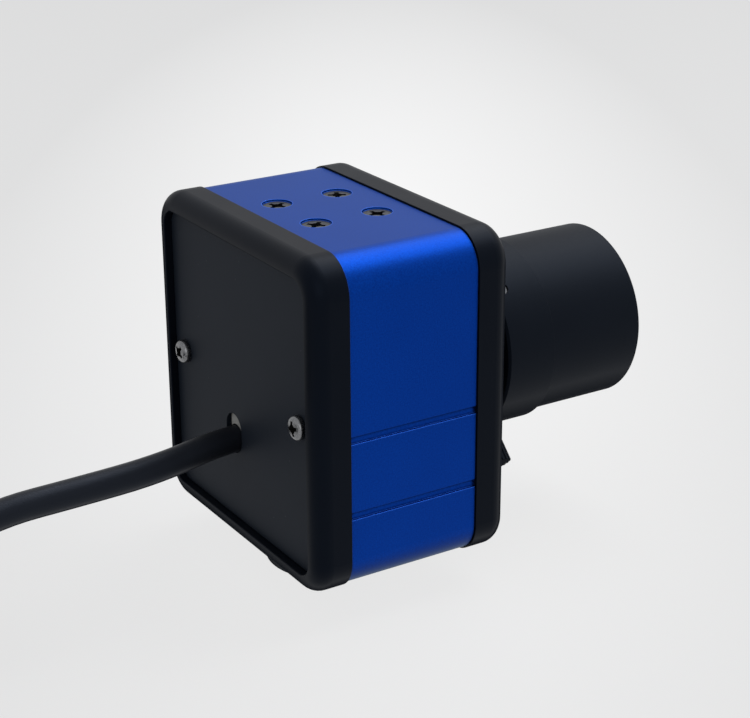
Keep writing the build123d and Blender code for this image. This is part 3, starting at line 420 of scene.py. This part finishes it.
def cut(mesh, cutter):
    """Mesh with the cutter's volume taken out. The faces that the cut leaves take the second material."""
    cutter.polygons.foreach_set("material_index", [1] * len(cutter.polygons))
    work = bpy.data.objects.new("cut_work", mesh)
    tool = bpy.data.objects.new("cut_tool", cutter)
    for made in (work, tool):
        while len(made.data.materials) < 2:
            made.data.materials.append(None)
        bpy.context.scene.collection.objects.link(made)
    boolean = work.modifiers.new("cut", "BOOLEAN")
    boolean.object = tool
    boolean.solver = "EXACT"
    boolean.use_self = True
    bpy.context.view_layer.update()
    done = bpy.data.meshes.new_from_object(work.evaluated_get(bpy.context.evaluated_depsgraph_get()))
    bpy.data.objects.remove(work)
    bpy.data.objects.remove(tool)
    return done


def surface(name, rows, closed=False):
    """Mesh over rows of points that each run round a loop. Closed joins the last row to the first, otherwise
    the end rows are filled."""
    shape = bmesh.new()
    loops = [[shape.verts.new(point) for point in row] for row in rows]
    following = loops[1:] + loops[:1] if closed else loops[1:]
    for lower, upper in zip(loops, following):
        for k in range(len(lower)):
            n = (k + 1) % len(lower)
            shape.faces.new((lower[k], lower[n], upper[n], upper[k]))
    if not closed:
        shape.faces.new(loops[0][::-1])
        shape.faces.new(loops[-1])
    bmesh.ops.recalc_face_normals(shape, faces=shape.faces)
    return mesh_from(shape, name)


def round_box(width, height, corner, steps=5):
    """Points round a rectangle with round corners, about its centre."""
    points = []
    for start, sx, sy in ((0, 1, 1), (90, -1, 1), (180, -1, -1), (270, 1, -1)):
        for k in range(steps + 1):
            angle = radians(start + 90 * k / steps)
            points.append((sx * (width / 2 - corner) + corner * cos(angle),
                           sy * (height / 2 - corner) + corner * sin(angle)))
    return points


def block(name, size, centre, edge):
    """Moulded block with soft edges."""
    shape = bmesh.new()
    place = Matrix.Translation(centre) @ Matrix.Diagonal((*size, 1.0))
    bmesh.ops.create_cube(shape, size=1.0, matrix=place)
    bmesh.ops.bevel(shape, geom=shape.edges[:], offset=edge, segments=3, affect="EDGES", profile=0.5)
    return mesh_from(shape, name)


def joined(name, meshes_and_places):
    """One mesh from several meshes, each put in its place."""
    shape = bmesh.new()
    for mesh, place in meshes_and_places:
        part = bmesh.new()
        part.from_mesh(mesh)
        part.transform(place)
        moved = mesh_from(part, "moved")
        shape.from_mesh(moved)
        bpy.data.meshes.remove(moved)
    return mesh_from(shape, name)


def merged_solid(node):
    """A node's mesh as a shape, with the vertices merged that model.glb splits along its sharp edges."""
    shape = bmesh.new()
    shape.from_mesh(NODES[node].data)
    bmesh.ops.remove_doubles(shape, verts=shape.verts, dist=SAME_PLACE)
    return shape


# Screws with a cross recess

PAN_R = 2.0 * MM
PAN_H = 1.5 * MM
PAN_CROWN = 0.16 * MM
PAN_RIM = 0.06
PAN_CROSS = 1.35 * MM
FLAT_R = 2.35 * MM
FLAT_RIM = 0.12 * MM
FLAT_DISH = 0.05 * MM
FLAT_CROSS = 1.55 * MM
SHANK_R = 0.98 * MM
THREAD_PITCH = 0.4 * MM
THREAD_DEPTH = 0.18 * MM
CROSS_DEPTH = 0.95 * MM
CUT_ABOVE = 0.6 * MM
# the second blade and the cone go a little deeper, so that no two floors of the recess coincide
BLADE_DEEPER = 0.009 * MM
CONE_DEEPER = 0.05 * MM


def recessed(mesh, reach, top):
    """Mesh with a driver's cross sunk in its top: two tapered blades and a small cone, cut one by one."""
    heights = ((top - CROSS_DEPTH, 0.0), (top + CUT_ABOVE, (CROSS_DEPTH + CUT_ABOVE) / CROSS_DEPTH))
    for turn, deeper in ((0, 0.0), (90, BLADE_DEEPER)):
        spin = Matrix.Rotation(radians(turn), 3, "Z")
        rows = []
        for z, share in heights:
            half_l = reach * (0.35 + 0.65 * share)
            half_w = reach * (0.14 + 0.1 * share)
            corners = ((-half_l, -half_w), (half_l, -half_w), (half_l, half_w), (-half_l, half_w))
            rows.append([spin @ Vector((x, y, z - deeper)) for x, y in corners])
        mesh = cut(mesh, surface("blade", rows))
    rows = [ring(reach * (0.3 + 0.28 * share), z - CONE_DEEPER, 16) for z, share in heights]
    return cut(mesh, surface("cone", rows))


def shank_outline(start_r, top, length):
    """Thread of a screw as rings below z = top, down to its point."""
    core = SHANK_R - THREAD_DEPTH
    rows = [(start_r, top)]
    z = top
    while z > top - length + 2 * THREAD_PITCH:
        rows += [(core, z - THREAD_PITCH / 4), (SHANK_R, z - THREAD_PITCH / 2),
                 (SHANK_R, z - THREAD_PITCH * 0.62), (core, z - THREAD_PITCH * 0.9)]
        z -= THREAD_PITCH
    rows += [(core, top - length + THREAD_PITCH), (SHANK_R * 0.5, top - length), (0, top - length)]
    return rows


def pan_screw_mesh(length):
    """Pan-head screw along +Z with the underside of its head at 0."""
    edge_r = PAN_H * 0.5
    rim = [(PAN_R * (1 - PAN_RIM) + PAN_R * PAN_RIM * cos(radians(a)),
            PAN_H * PAN_RIM * (1 + sin(radians(a)))) for a in (-90, -45, 0)]
    shoulder = [(PAN_R - edge_r + edge_r * cos(radians(a)),
                 PAN_H - PAN_CROWN - edge_r + edge_r * sin(radians(a))) for a in range(0, 91, 15)]
    dome = [(PAN_R * share, PAN_H - PAN_CROWN * (share / 0.6) ** 2) for share in (0.25, 0.45)]
    head = [(0, PAN_H)] + dome + shoulder[::-1] + rim[::-1]
    mesh = turned_mesh("pan_screw", head + shank_outline(SHANK_R, 0, length))
    return smooth(recessed(mesh, PAN_CROSS, PAN_H), 30)


def flat_screw_mesh(length):
    """Countersunk screw along +Z with its top at 0."""
    below = -FLAT_RIM - (FLAT_R - SHANK_R)
    head = [(0, -FLAT_DISH), (FLAT_R * 0.6, -0.03 * MM), (FLAT_R - 0.08 * MM, 0), (FLAT_R, -FLAT_DISH),
            (FLAT_R, -FLAT_RIM), (SHANK_R, below)]
    mesh = turned_mesh("flat_screw", head + shank_outline(SHANK_R, below, length + below))
    return smooth(recessed(mesh, FLAT_CROSS, 0.0), 30)


def solid_boxes(node):
    """Lowest and highest corner of each separate solid of a node, in the order of their lowest corners."""
    shape = merged_solid(node)
    left, boxes = set(shape.verts), []
    while left:
        island, queue = set(), [left.pop()]
        while queue:
            vert = queue.pop()
            island.add(vert)
            for link in vert.link_edges:
                other = link.other_vert(vert)
                if other in left:
                    left.discard(other)
                    queue.append(other)
        low = Vector(min(v.co[k] for v in island) for k in range(3))
        high = Vector(max(v.co[k] for v in island) for k in range(3))
        boxes.append((low, high))
    shape.free()
    return sorted(boxes, key=lambda box: tuple(round(c, 5) for c in box[0]))


def screws(node, mesh_of, outward, turns, slot, head_height=0.0):
    """Detailed screws in the places of a node's plain ones. Outward is the way their heads face, turns are
    their recesses' angles, and the mesh starts head_height below the head's top."""
    places, shapes = [], {}
    outward = Vector(outward)
    axis = max(range(3), key=lambda k: abs(outward[k]))
    for (low, high), turn in zip(solid_boxes(node), turns):
        head_top = (low + high) / 2
        head_top[axis] = high[axis] if outward[axis] > 0 else low[axis]
        spin = Vector((0, 0, 1)).rotation_difference(outward).to_matrix().to_4x4()
        seat = head_top - outward * head_height
        place = Matrix.Translation(seat) @ spin @ Matrix.Rotation(radians(turn), 4, "Z")
        length = round(high[axis] - low[axis] - head_height, 6)
        if length not in shapes:
            shapes[length] = mesh_of(length)
        places.append((shapes[length], place))
    name = node + "_cross"
    # the recess faces take the painted shade
    return piece(name, joined(name, places), slot, replaces=[node], finishes=(FINISHES[slot], PAINTED_RECESS_SHADE))


def fit_screws():
    """Every screw whose head shows, each with its recess turned another way."""
    screws("rear_plate_screws", pan_screw_mesh, (0, 1, 0), (14, 52), "bright_screw", PAN_H)
    screws("front_plate_screws", pan_screw_mesh, (0, -1, 0), (33, 71), "bright_screw", PAN_H)
    screws("top_screws", flat_screw_mesh, (0, 0, 1), (10, 40, 63, 25), "black_screw")
    screws("boss_screws", flat_screw_mesh, (0, 0, -1), (35, 80, 12, 55), "black_screw")


# Knurled iris ring

KNURLS = 84
KNURL_DEPTH = 0.28 * MM
KNURL_MARGIN = 0.5 * MM
# depth along one knurl in shares of KNURL_DEPTH, from the bottom of one groove towards the next
KNURL_FORM = (1.0, 0.9, 0.1, 0.0, 0.1, 0.9)
IRIS_RING_EDGE = 0.3 * MM


def knurl_iris_ring():
    """Iris ring with straight knurls round its grip."""
    low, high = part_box("iris_ring")
    centre_z, outer = (low.z + high.z) / 2, (high.x - low.x) / 2
    inner = min(Vector((v.co.x, v.co.z - centre_z)).length for v in NODES["iris_ring"].data.vertices)
    edge, first, last = IRIS_RING_EDGE, low.y + KNURL_MARGIN, high.y - KNURL_MARGIN
    profile = [(inner, low.y, False), (outer - edge, low.y, False), (outer, low.y + edge, False),
               (outer, first, False), (outer, first + KNURL_DEPTH, True),
               (outer, last - KNURL_DEPTH, True), (outer, last, False),
               (outer, high.y - edge, False), (outer - edge, high.y, False), (inner, high.y, False)]
    columns = KNURLS * len(KNURL_FORM)
    rows = []
    for radius, y, knurled in profile:
        row = []
        for k in range(columns):
            angle = 2 * pi * k / columns
            r = radius - (KNURL_DEPTH * KNURL_FORM[k % len(KNURL_FORM)] if knurled else 0)
            row.append((r * cos(angle), y, centre_z + r * sin(angle)))
        rows.append(row)
    mesh = smooth(surface("iris_ring_knurled", rows, closed=True), 25)
    piece("iris_ring_knurled", mesh, "black_lens", "iris", ["iris_ring"])


# Boss with its tripod thread

TRIPOD_HOLE_R = 2.6 * MM
TRIPOD_HOLE_DEPTH = 5.5 * MM
TRIPOD_PITCH = 1.27 * MM
TRIPOD_THREAD_DEPTH = 0.55 * MM
TRIPOD_MOUTH = 0.5 * MM
THREAD_COLUMNS = 48
THREAD_ROWS_PER_TURN = 8
# the cutter clears the hole's wall by this, its ends narrow to the same radius, and it starts below
CUTTER_CLEAR = 0.01 * MM
CUTTER_BELOW = 0.3 * MM
# vertices this low and this near the outside are drawn in by BOSS_EDGE
BOSS_FACE = 0.1 * MM
BOSS_EDGE_ZONE = 1.0 * MM
BOSS_EDGE = 0.12 * MM


def thread_radius(k, z):
    """Radius of the thread's groove at column k and height z, with a cone at the mouth."""
    phase = (z / TRIPOD_PITCH - k / THREAD_COLUMNS) % 1.0
    share = min(1.0, max(0.0, 1.4 - abs(phase - 0.5) * 4.2))
    groove = TRIPOD_HOLE_R + CUTTER_CLEAR + TRIPOD_THREAD_DEPTH * share
    mouth = TRIPOD_HOLE_R + TRIPOD_THREAD_DEPTH + TRIPOD_MOUTH - z
    return max(groove, mouth) if z < TRIPOD_MOUTH else groove


def thread_tripod_boss():
    """Boss with its lower rim drawn in and a real thread in its hole: a groove that winds up the wall."""
    shape = merged_solid("tripod_boss")
    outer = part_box("tripod_boss")[1].x
    for vert in shape.verts:
        radius = vert.co.xy.length
        if vert.co.z < BOSS_FACE and radius > outer - BOSS_EDGE_ZONE:
            vert.co.xy *= (outer - BOSS_EDGE) / radius
    boss = mesh_from(shape, "tripod_boss_threaded")
    z = -CUTTER_BELOW
    rows = [ring(CUTTER_CLEAR, z, THREAD_COLUMNS)]
    while z <= TRIPOD_HOLE_DEPTH:
        row = []
        for k in range(THREAD_COLUMNS):
            angle, r = 2 * pi * k / THREAD_COLUMNS, thread_radius(k, z)
            row.append((r * cos(angle), r * sin(angle), z))
        rows.append(row)
        z += TRIPOD_PITCH / THREAD_ROWS_PER_TURN
    rows.append(ring(CUTTER_CLEAR, TRIPOD_HOLE_DEPTH, THREAD_COLUMNS))
    mesh = smooth(cut(boss, surface("thread_cutter", rows)), 30)
    piece("tripod_boss_threaded", mesh, "black_lens", replaces=["tripod_boss"],
          finishes=(FINISHES["black_lens"], FINISHES["black_lens"]))


# Tie round the coil

TIE_STRAP_W = 3.0 * MM
TIE_STRAP_T = 1.0 * MM
TIE_UNDER = 0.3 * MM
TIE_BEND_R = 2.8 * MM
# the strap's section: place across it, and share of its thickness
TIE_SECTION = ((-0.5, 0.0), (-0.5, 0.75), (-0.36, 1.0), (0.36, 1.0), (0.5, 0.75), (0.5, 0.0))
TIE_HEAD = (5.2 * MM, 5.6 * MM, 3.4 * MM)
TIE_HEAD_SUNK = 0.6 * MM
TIE_TAIL = 3.6 * MM


def fit_coil_tie():
    """Nylon tie pulled tight round the coil, with its head on top and the tail cut off short."""
    low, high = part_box("coil_tie")
    middle = (low + high) / 2
    width, height = high.y - low.y, high.z
    outer = round_box(width, height, TIE_BEND_R)
    inner = round_box(width - 2 * TIE_STRAP_T, height - TIE_STRAP_T - TIE_UNDER, TIE_BEND_R - TIE_STRAP_T)
    rise = (TIE_UNDER - TIE_STRAP_T) / 2
    rows = []
    for (oy, oz), (iy, iz) in zip(outer, inner):
        rows.append([(middle.x + TIE_STRAP_W * across,
                      middle.y + iy + (oy - iy) * share,
                      middle.z + (iz + rise) * (1 - share) + oz * share) for across, share in TIE_SECTION])
    strap = surface("strap", rows, closed=True)
    top = Vector((middle.x, middle.y, height))
    head_top = TIE_HEAD[2] - TIE_HEAD_SUNK
    head = block("head", TIE_HEAD, top + Vector((0, 0, TIE_HEAD[2] / 2 - TIE_HEAD_SUNK)), 0.5 * MM)
    slot = block("slot", (TIE_STRAP_W + 0.5 * MM, TIE_STRAP_T + 0.7 * MM, 2 * MM),
                 top + Vector((0, 0, head_top)), 0.1 * MM)
    tail = block("tail", (TIE_STRAP_W * 0.94, TIE_STRAP_T, TIE_TAIL),
                 top + Vector((0, 0, head_top - 0.3 * MM)), 0.15 * MM)
    here = Matrix.Identity(4)
    parts = [(strap, here), (cut(head, slot), here), (tail, here)]
    return piece("coil_tie_strap", smooth(joined("coil_tie_strap", parts), 30), "black_nylon",
                 replaces=["coil_tie"])


# Plug

# down to PLUG_STEP in mm, with places along the plug from the cable's end
RELIEF_L = 8.0
SHOULDER_L = 3.0
RELIEF_R = 3.0
RELIEF_FLARE = 0.08
RELIEF_TALLEST = 3.6
RELIEF_RINGS = (1.4, 3.4, 5.4)
RELIEF_GROOVE = 0.5
GRIP_HALF_W = 8.0
GRIP_HALF_H = 4.0
GRIP_WAIST = 0.45
GRIP_RIDGES = (13.0, 14.5, 16.0, 17.5, 19.0)
GRIP_RIDGE_REACH = 5.4
GRIP_GROOVE = 0.35
NOSE_L = 1.2
NOSE_DROP = 0.5
PLUG_STEP = 0.25
PLUG_COLUMNS = 64
SHELL_CORNER = 0.7 * MM
SHELL_SHEET = 0.4 * MM
SHELL_LIP = 0.12 * MM
SHELL_WINDOW = 2.5 * MM
SHELL_WINDOW_BACK = 10.2 * MM
# place across the tongue and length of each contact, in mm
CONTACTS = ((-3.5, 8.6), (-1.0, 7.4), (1.0, 7.4), (3.5, 8.6))
CONTACT_W = 1.1 * MM
CONTACT_T = 0.18 * MM


def ease(share):
    """Smooth step from 0 to 1."""
    share = min(1.0, max(0.0, share))
    return share * share * (3 - 2 * share)


def dip(distance, half_width):
    """Round groove: 1 in its middle, 0 from half_width on."""
    return max(0.0, 1 - (distance / half_width) ** 2)


def plug_section(run, length):
    """Half width, half height in mm and squareness of the moulding, run mm from the cable's end."""
    shoulder = ease((run - RELIEF_L + SHOULDER_L) / SHOULDER_L)
    nose = ease((run - length + NOSE_L) / NOSE_L)
    relief = RELIEF_R + RELIEF_FLARE * run - RELIEF_GROOVE * max(dip(run - at, 0.55) for at in RELIEF_RINGS)
    waist = GRIP_WAIST * sin(pi * ease((run - 11) / 11))
    wide = relief + (GRIP_HALF_W - relief) * shoulder - waist - NOSE_DROP * nose
    low_relief = min(relief, RELIEF_TALLEST)
    high = low_relief + (GRIP_HALF_H - low_relief) * shoulder - NOSE_DROP * nose
    return wide, high, 2 + 3 * shoulder


def mould_plug():
    """Moulded grip that narrows to a ringed strain relief, with finger ridges above and below."""
    low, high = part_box("plug_body")
    middle = (low + high) / 2
    length = (high.y - low.y) / MM
    rows = []
    for step in range(int(length / PLUG_STEP) + 1):
        run = step * PLUG_STEP
        wide, tall, square = plug_section(run, length)
        groove = max(dip(run - ridge, 0.5) for ridge in GRIP_RIDGES) * GRIP_GROOVE
        row = []
        for k in range(PLUG_COLUMNS):
            c, s = cos(2 * pi * k / PLUG_COLUMNS), sin(2 * pi * k / PLUG_COLUMNS)
            x = copysign(abs(c) ** (2 / square), c) * wide
            z = copysign(abs(s) ** (2 / square), s) * tall
            z -= copysign(groove * ease((GRIP_RIDGE_REACH - abs(x)) / 0.8) * ease(abs(z) / tall * 2 - 1), z)
            row.append((middle.x + x * MM, high.y - run * MM, middle.z + z * MM))
        rows.append(row)
    mesh = smooth(surface("plug_moulding", rows), 40)
    return piece("plug_moulding", mesh, "black_nylon", replaces=["plug_body"])


def fold_plug_shell():
    """Sheet shell with rounded folds and its latch windows."""
    low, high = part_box("plug_shell")
    middle = (low + high) / 2
    width, height = high.x - low.x, high.z - low.z
    outer = round_box(width, height, SHELL_CORNER)
    nosed = round_box(width - 2 * SHELL_LIP, height - 2 * SHELL_LIP, SHELL_CORNER - SHELL_LIP)
    inner = round_box(width - 2 * SHELL_SHEET, height - 2 * SHELL_SHEET, SHELL_CORNER - SHELL_SHEET)
    rows = []
    for outline, y in ((inner, high.y), (outer, high.y), (outer, low.y + SHELL_LIP), (nosed, low.y),
                       (inner, low.y)):
        rows.append([(middle.x + x, y, middle.z + z) for x, z in outline])
    shell = surface("shell", rows, closed=True)
    for x in (-width / 4, width / 4):
        centre = (middle.x + x, high.y - SHELL_WINDOW_BACK, middle.z + height / 2)
        shell = cut(shell, block("window", (SHELL_WINDOW, SHELL_WINDOW, height), centre, 0.2 * MM))
    return piece("plug_sheet_shell", smooth(shell, 35), "plug_shell", replaces=["plug_shell"],
                 finishes=(FINISHES["plug_shell"], FINISHES["plug_shell"]))


def lay_contacts():
    """Four gilded contacts on the tongue, the outer two longer."""
    low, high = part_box("plug_tongue")
    parts = []
    for x, length in CONTACTS:
        centre = ((low.x + high.x) / 2 + x * MM, low.y + (1.2 + length / 2) * MM, high.z + 0.04 * MM)
        contact = block("contact", (CONTACT_W, length * MM, CONTACT_T), centre, 0.05 * MM)
        parts.append((contact, Matrix.Identity(4)))
    return piece("plug_contacts", smooth(joined("plug_contacts", parts), 30), "bright_screw",
                 finishes=(GILDED_CONTACT,))


# Cable: the route's listed points, then the turns of the coil, then the end with the plug

CABLE_D = 4.5 * MM
# the photo's lead looks a little fuller outside the plate than its nominal size
FULL_JACKET = slice(2, 6)
FULL_SHARE = 1.08
ROUTE = [
    (2.7, 11.25, 24.0), (2.7, 19.0, 24.0), (2.6, 31.0, 21.85), (2.7, 45.0, 21.35), (2.8, 59.0, 21.1),
    (0.6, 71.5, 18.2), (-10.9, 88.5, 16.2), (-15.0, 100.0, 15.9), (-15.0, 117.0, 15.9),
]
TAIL = [(40.1, 108.5, 2.45), (40.3, 100.0, 4.0), (40.3, 91.5, 4.0)]
COIL_CENTRE = (12.55, 117.0)
COIL_OUT_R = 27.55
COIL_PITCH = 4.55
COIL_TURNS = 2
LAYER_Z = (15.9, 11.35, 6.8, 2.25)
POINTS_PER_TURN = 24
STEP_POINTS = 12
STEP_SWELL = 0.9


def coil_points():
    """Centre line of the coil: inwards on the top layer, a step down, outwards on the next, and so on."""
    inner = COIL_OUT_R - COIL_PITCH * COIL_TURNS
    points_per_layer = COIL_TURNS * POINTS_PER_TURN
    path = []
    for layer, z in enumerate(LAYER_Z):
        start, end = (COIL_OUT_R, inner) if layer % 2 == 0 else (inner, COIL_OUT_R)
        for k in range(1, points_per_layer + 1):
            path.append((start + (end - start) * k / points_per_layer, z))
        if layer + 1 < len(LAYER_Z):
            swell = STEP_SWELL if end > start else -STEP_SWELL
            for k in range(1, STEP_POINTS + 1):
                share = k / STEP_POINTS
                path.append((end + swell * sin(pi * share), z + (LAYER_Z[layer + 1] - z) * share))
    points = []
    for k, (radius, z) in enumerate(path, 1):
        angle = pi - 2 * pi * k / POINTS_PER_TURN
        points.append((COIL_CENTRE[0] + radius * cos(angle), COIL_CENTRE[1] + radius * sin(angle), z))
    return points


def lay_cable(riders):
    """The whole cable as one spline. The argument riders, the tie and the plug's pieces, is not used."""
    curve = bpy.data.curves.new("camera_cable", "CURVE")
    curve.dimensions = "3D"
    line = curve.splines.new("NURBS")
    points = ROUTE + coil_points() + TAIL
    line.points.add(len(points) - 1)
    for point, place in zip(line.points, points):
        point.co = (*(c * MM for c in place), 1.0)
    for point in line.points[FULL_JACKET]:
        point.radius = FULL_SHARE
    line.order_u = 3
    line.use_endpoint_u = True
    line.resolution_u = 6
    curve.bevel_depth = CABLE_D / 2
    curve.bevel_resolution = 8
    curve.use_fill_caps = True
    curve.materials.append(FINISHES["cable_jacket"])
    cable = bpy.data.objects.new("camera_cable", curve)
    bpy.context.scene.collection.objects.link(cable)
    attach(cable, ROOT)
    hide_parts("cable", "cable_coil", "cable_tail")


# Studio: pale floor, soft light, camera at the photograph's place

FLOOR_REACH = 3.0
LIGHT_AIM = Vector((0.0, 0.0, 0.035))
# oval pool of light on the floor: centre, turn in degrees, and half lengths
POOL_CENTRE = (0.142, -0.098, 0.0)
POOL_TURN = -32.0
POOL_LONG = 0.385
POOL_WIDE = 0.105

CAMERA_PLACE = Vector((-246.47, 144.89, 147.43)) * MM
CAMERA_AZIMUTH = 238.02
CAMERA_ELEVATION = 21.43
CAMERA_ROLL = -0.30
IMAGE_WIDTH = 750
FOCAL_PIXELS = 1848.0
SENSOR_WIDTH = 36.0


def set_camera():
    """Camera at the place and turn that were fitted to the photograph."""
    lens = bpy.data.cameras.new("photo_view")
    lens.sensor_width = SENSOR_WIDTH
    lens.sensor_fit = "HORIZONTAL"
    lens.lens = FOCAL_PIXELS / IMAGE_WIDTH * SENSOR_WIDTH
    lens.clip_start = 0.01
    lens.clip_end = 20.0
    camera = bpy.data.objects.new("photo_view", lens)
    bpy.context.scene.collection.objects.link(camera)
    turn = (Matrix.Rotation(radians(CAMERA_AZIMUTH), 4, "Z")
            @ Matrix.Rotation(radians(90 - CAMERA_ELEVATION), 4, "X")
            @ Matrix.Rotation(radians(CAMERA_ROLL), 4, "Z"))
    camera.matrix_world = Matrix.Translation(CAMERA_PLACE) @ turn
    bpy.context.scene.camera = camera


def softbox(name, place, size, power):
    """Plain white softbox that faces the camera body."""
    light = bpy.data.lights.new(name, "AREA")
    light.shape = "RECTANGLE"
    light.size, light.size_y = size
    light.energy = power
    lamp = bpy.data.objects.new(name, light)
    bpy.context.scene.collection.objects.link(lamp)
    lamp.location = place
    lamp.rotation_mode = "QUATERNION"
    lamp.rotation_quaternion = (LIGHT_AIM - Vector(place)).to_track_quat("-Z", "Y")
    lamp.visible_camera = False


def seen_directly(tree):
    """1 where the eye, a reflection or a refraction meets the surface, 0 where it only gives light."""
    path = add(tree, "LightPath")
    either = add(tree, "Math", {0: path.outputs["Is Camera Ray"], 1: path.outputs["Is Glossy Ray"]},
                 operation="MAXIMUM")
    return add(tree, "Math", {0: either.outputs[0], 1: path.outputs["Is Transmission Ray"]},
               operation="MAXIMUM").outputs[0]


def pale_floor():
    """White paper sweep: it takes a faint shadow, and shows a pool of light round the object."""
    made = bpy.data.materials.new("pale_paper")
    made.use_nodes = True
    tree = made.node_tree
    tree.nodes.clear()
    place = add(tree, "TexCoord").outputs["Object"]
    pool = add(tree, "Mapping", {"Vector": place, "Location": POOL_CENTRE,
                                 "Rotation": (0.0, 0.0, radians(POOL_TURN)),
                                 "Scale": (POOL_LONG, POOL_WIDE, 1.0)}, vector_type="TEXTURE")
    fall = add(tree, "TexGradient", {"Vector": pool.outputs["Vector"]}, gradient_type="SPHERICAL")
    tone = add(tree, "MixRGB", {"Fac": fall.outputs["Fac"], "Color1": colour("#D8D8D8"),
                                "Color2": colour("#F4F4F4")})
    fibre = add(tree, "TexNoise", {"Vector": place, "Scale": per_metre(1.5), "Detail": 3.0})
    paper = add(tree, "MixRGB", {"Fac": 0.01, "Color1": tone.outputs["Color"],
                                 "Color2": fibre.outputs["Color"]})
    lit = add(tree, "BsdfDiffuse", {"Color": colour("#5C5C5C")})
    glow = add(tree, "Emission", {"Color": paper.outputs["Color"], "Strength": 0.96})
    seen = add(tree, "AddShader", {0: lit.outputs[0], 1: glow.outputs[0]})
    bounce = add(tree, "BsdfDiffuse", {"Color": colour("#D8D8D8")})
    mixed = add(tree, "MixShader", {0: seen_directly(tree), 1: bounce.outputs[0], 2: seen.outputs[0]})
    add(tree, "OutputMaterial", {"Surface": mixed.outputs[0]})
    return made


def build_studio():
    """Pale floor, even light from all round, a key above the lens and a weak fill from the blue side."""
    corners = [(FLOOR_REACH * x, FLOOR_REACH * y, 0) for x, y in ((-1, -1), (1, -1), (1, 1), (-1, 1))]
    mesh = bpy.data.meshes.new("floor")
    mesh.from_pydata(corners, [], [(0, 1, 2, 3)])
    mesh.materials.append(pale_floor())
    floor = bpy.data.objects.new("floor", mesh)
    bpy.context.scene.collection.objects.link(floor)
    world = bpy.data.worlds.new("studio")
    world.use_nodes = True
    tree = world.node_tree
    tree.nodes.clear()
    light = add(tree, "Background", {"Color": colour("#F4F7FF"), "Strength": 0.42})
    wall = add(tree, "Background", {"Color": colour("#EDEDEE"), "Strength": 0.9})
    mixed = add(tree, "MixShader", {0: seen_directly(tree), 1: light.outputs[0], 2: wall.outputs[0]})
    add(tree, "OutputWorld", {"Surface": mixed.outputs[0]})
    bpy.context.scene.world = world
    softbox("key", (0.05, -0.30, 0.55), (0.55, 0.35), 2.2)
    softbox("fill", (-0.6, 0.35, 0.35), (0.5, 0.5), 0.6)


dress_solids()
fit_screws()
knurl_iris_ring()
thread_tripod_boss()
lay_cable([fit_coil_tie(), mould_plug(), fold_plug_shell(), NODES["plug_tongue"], lay_contacts()])
build_studio()
set_camera()

bpy.context.scene.view_settings.view_transform = "Standard"
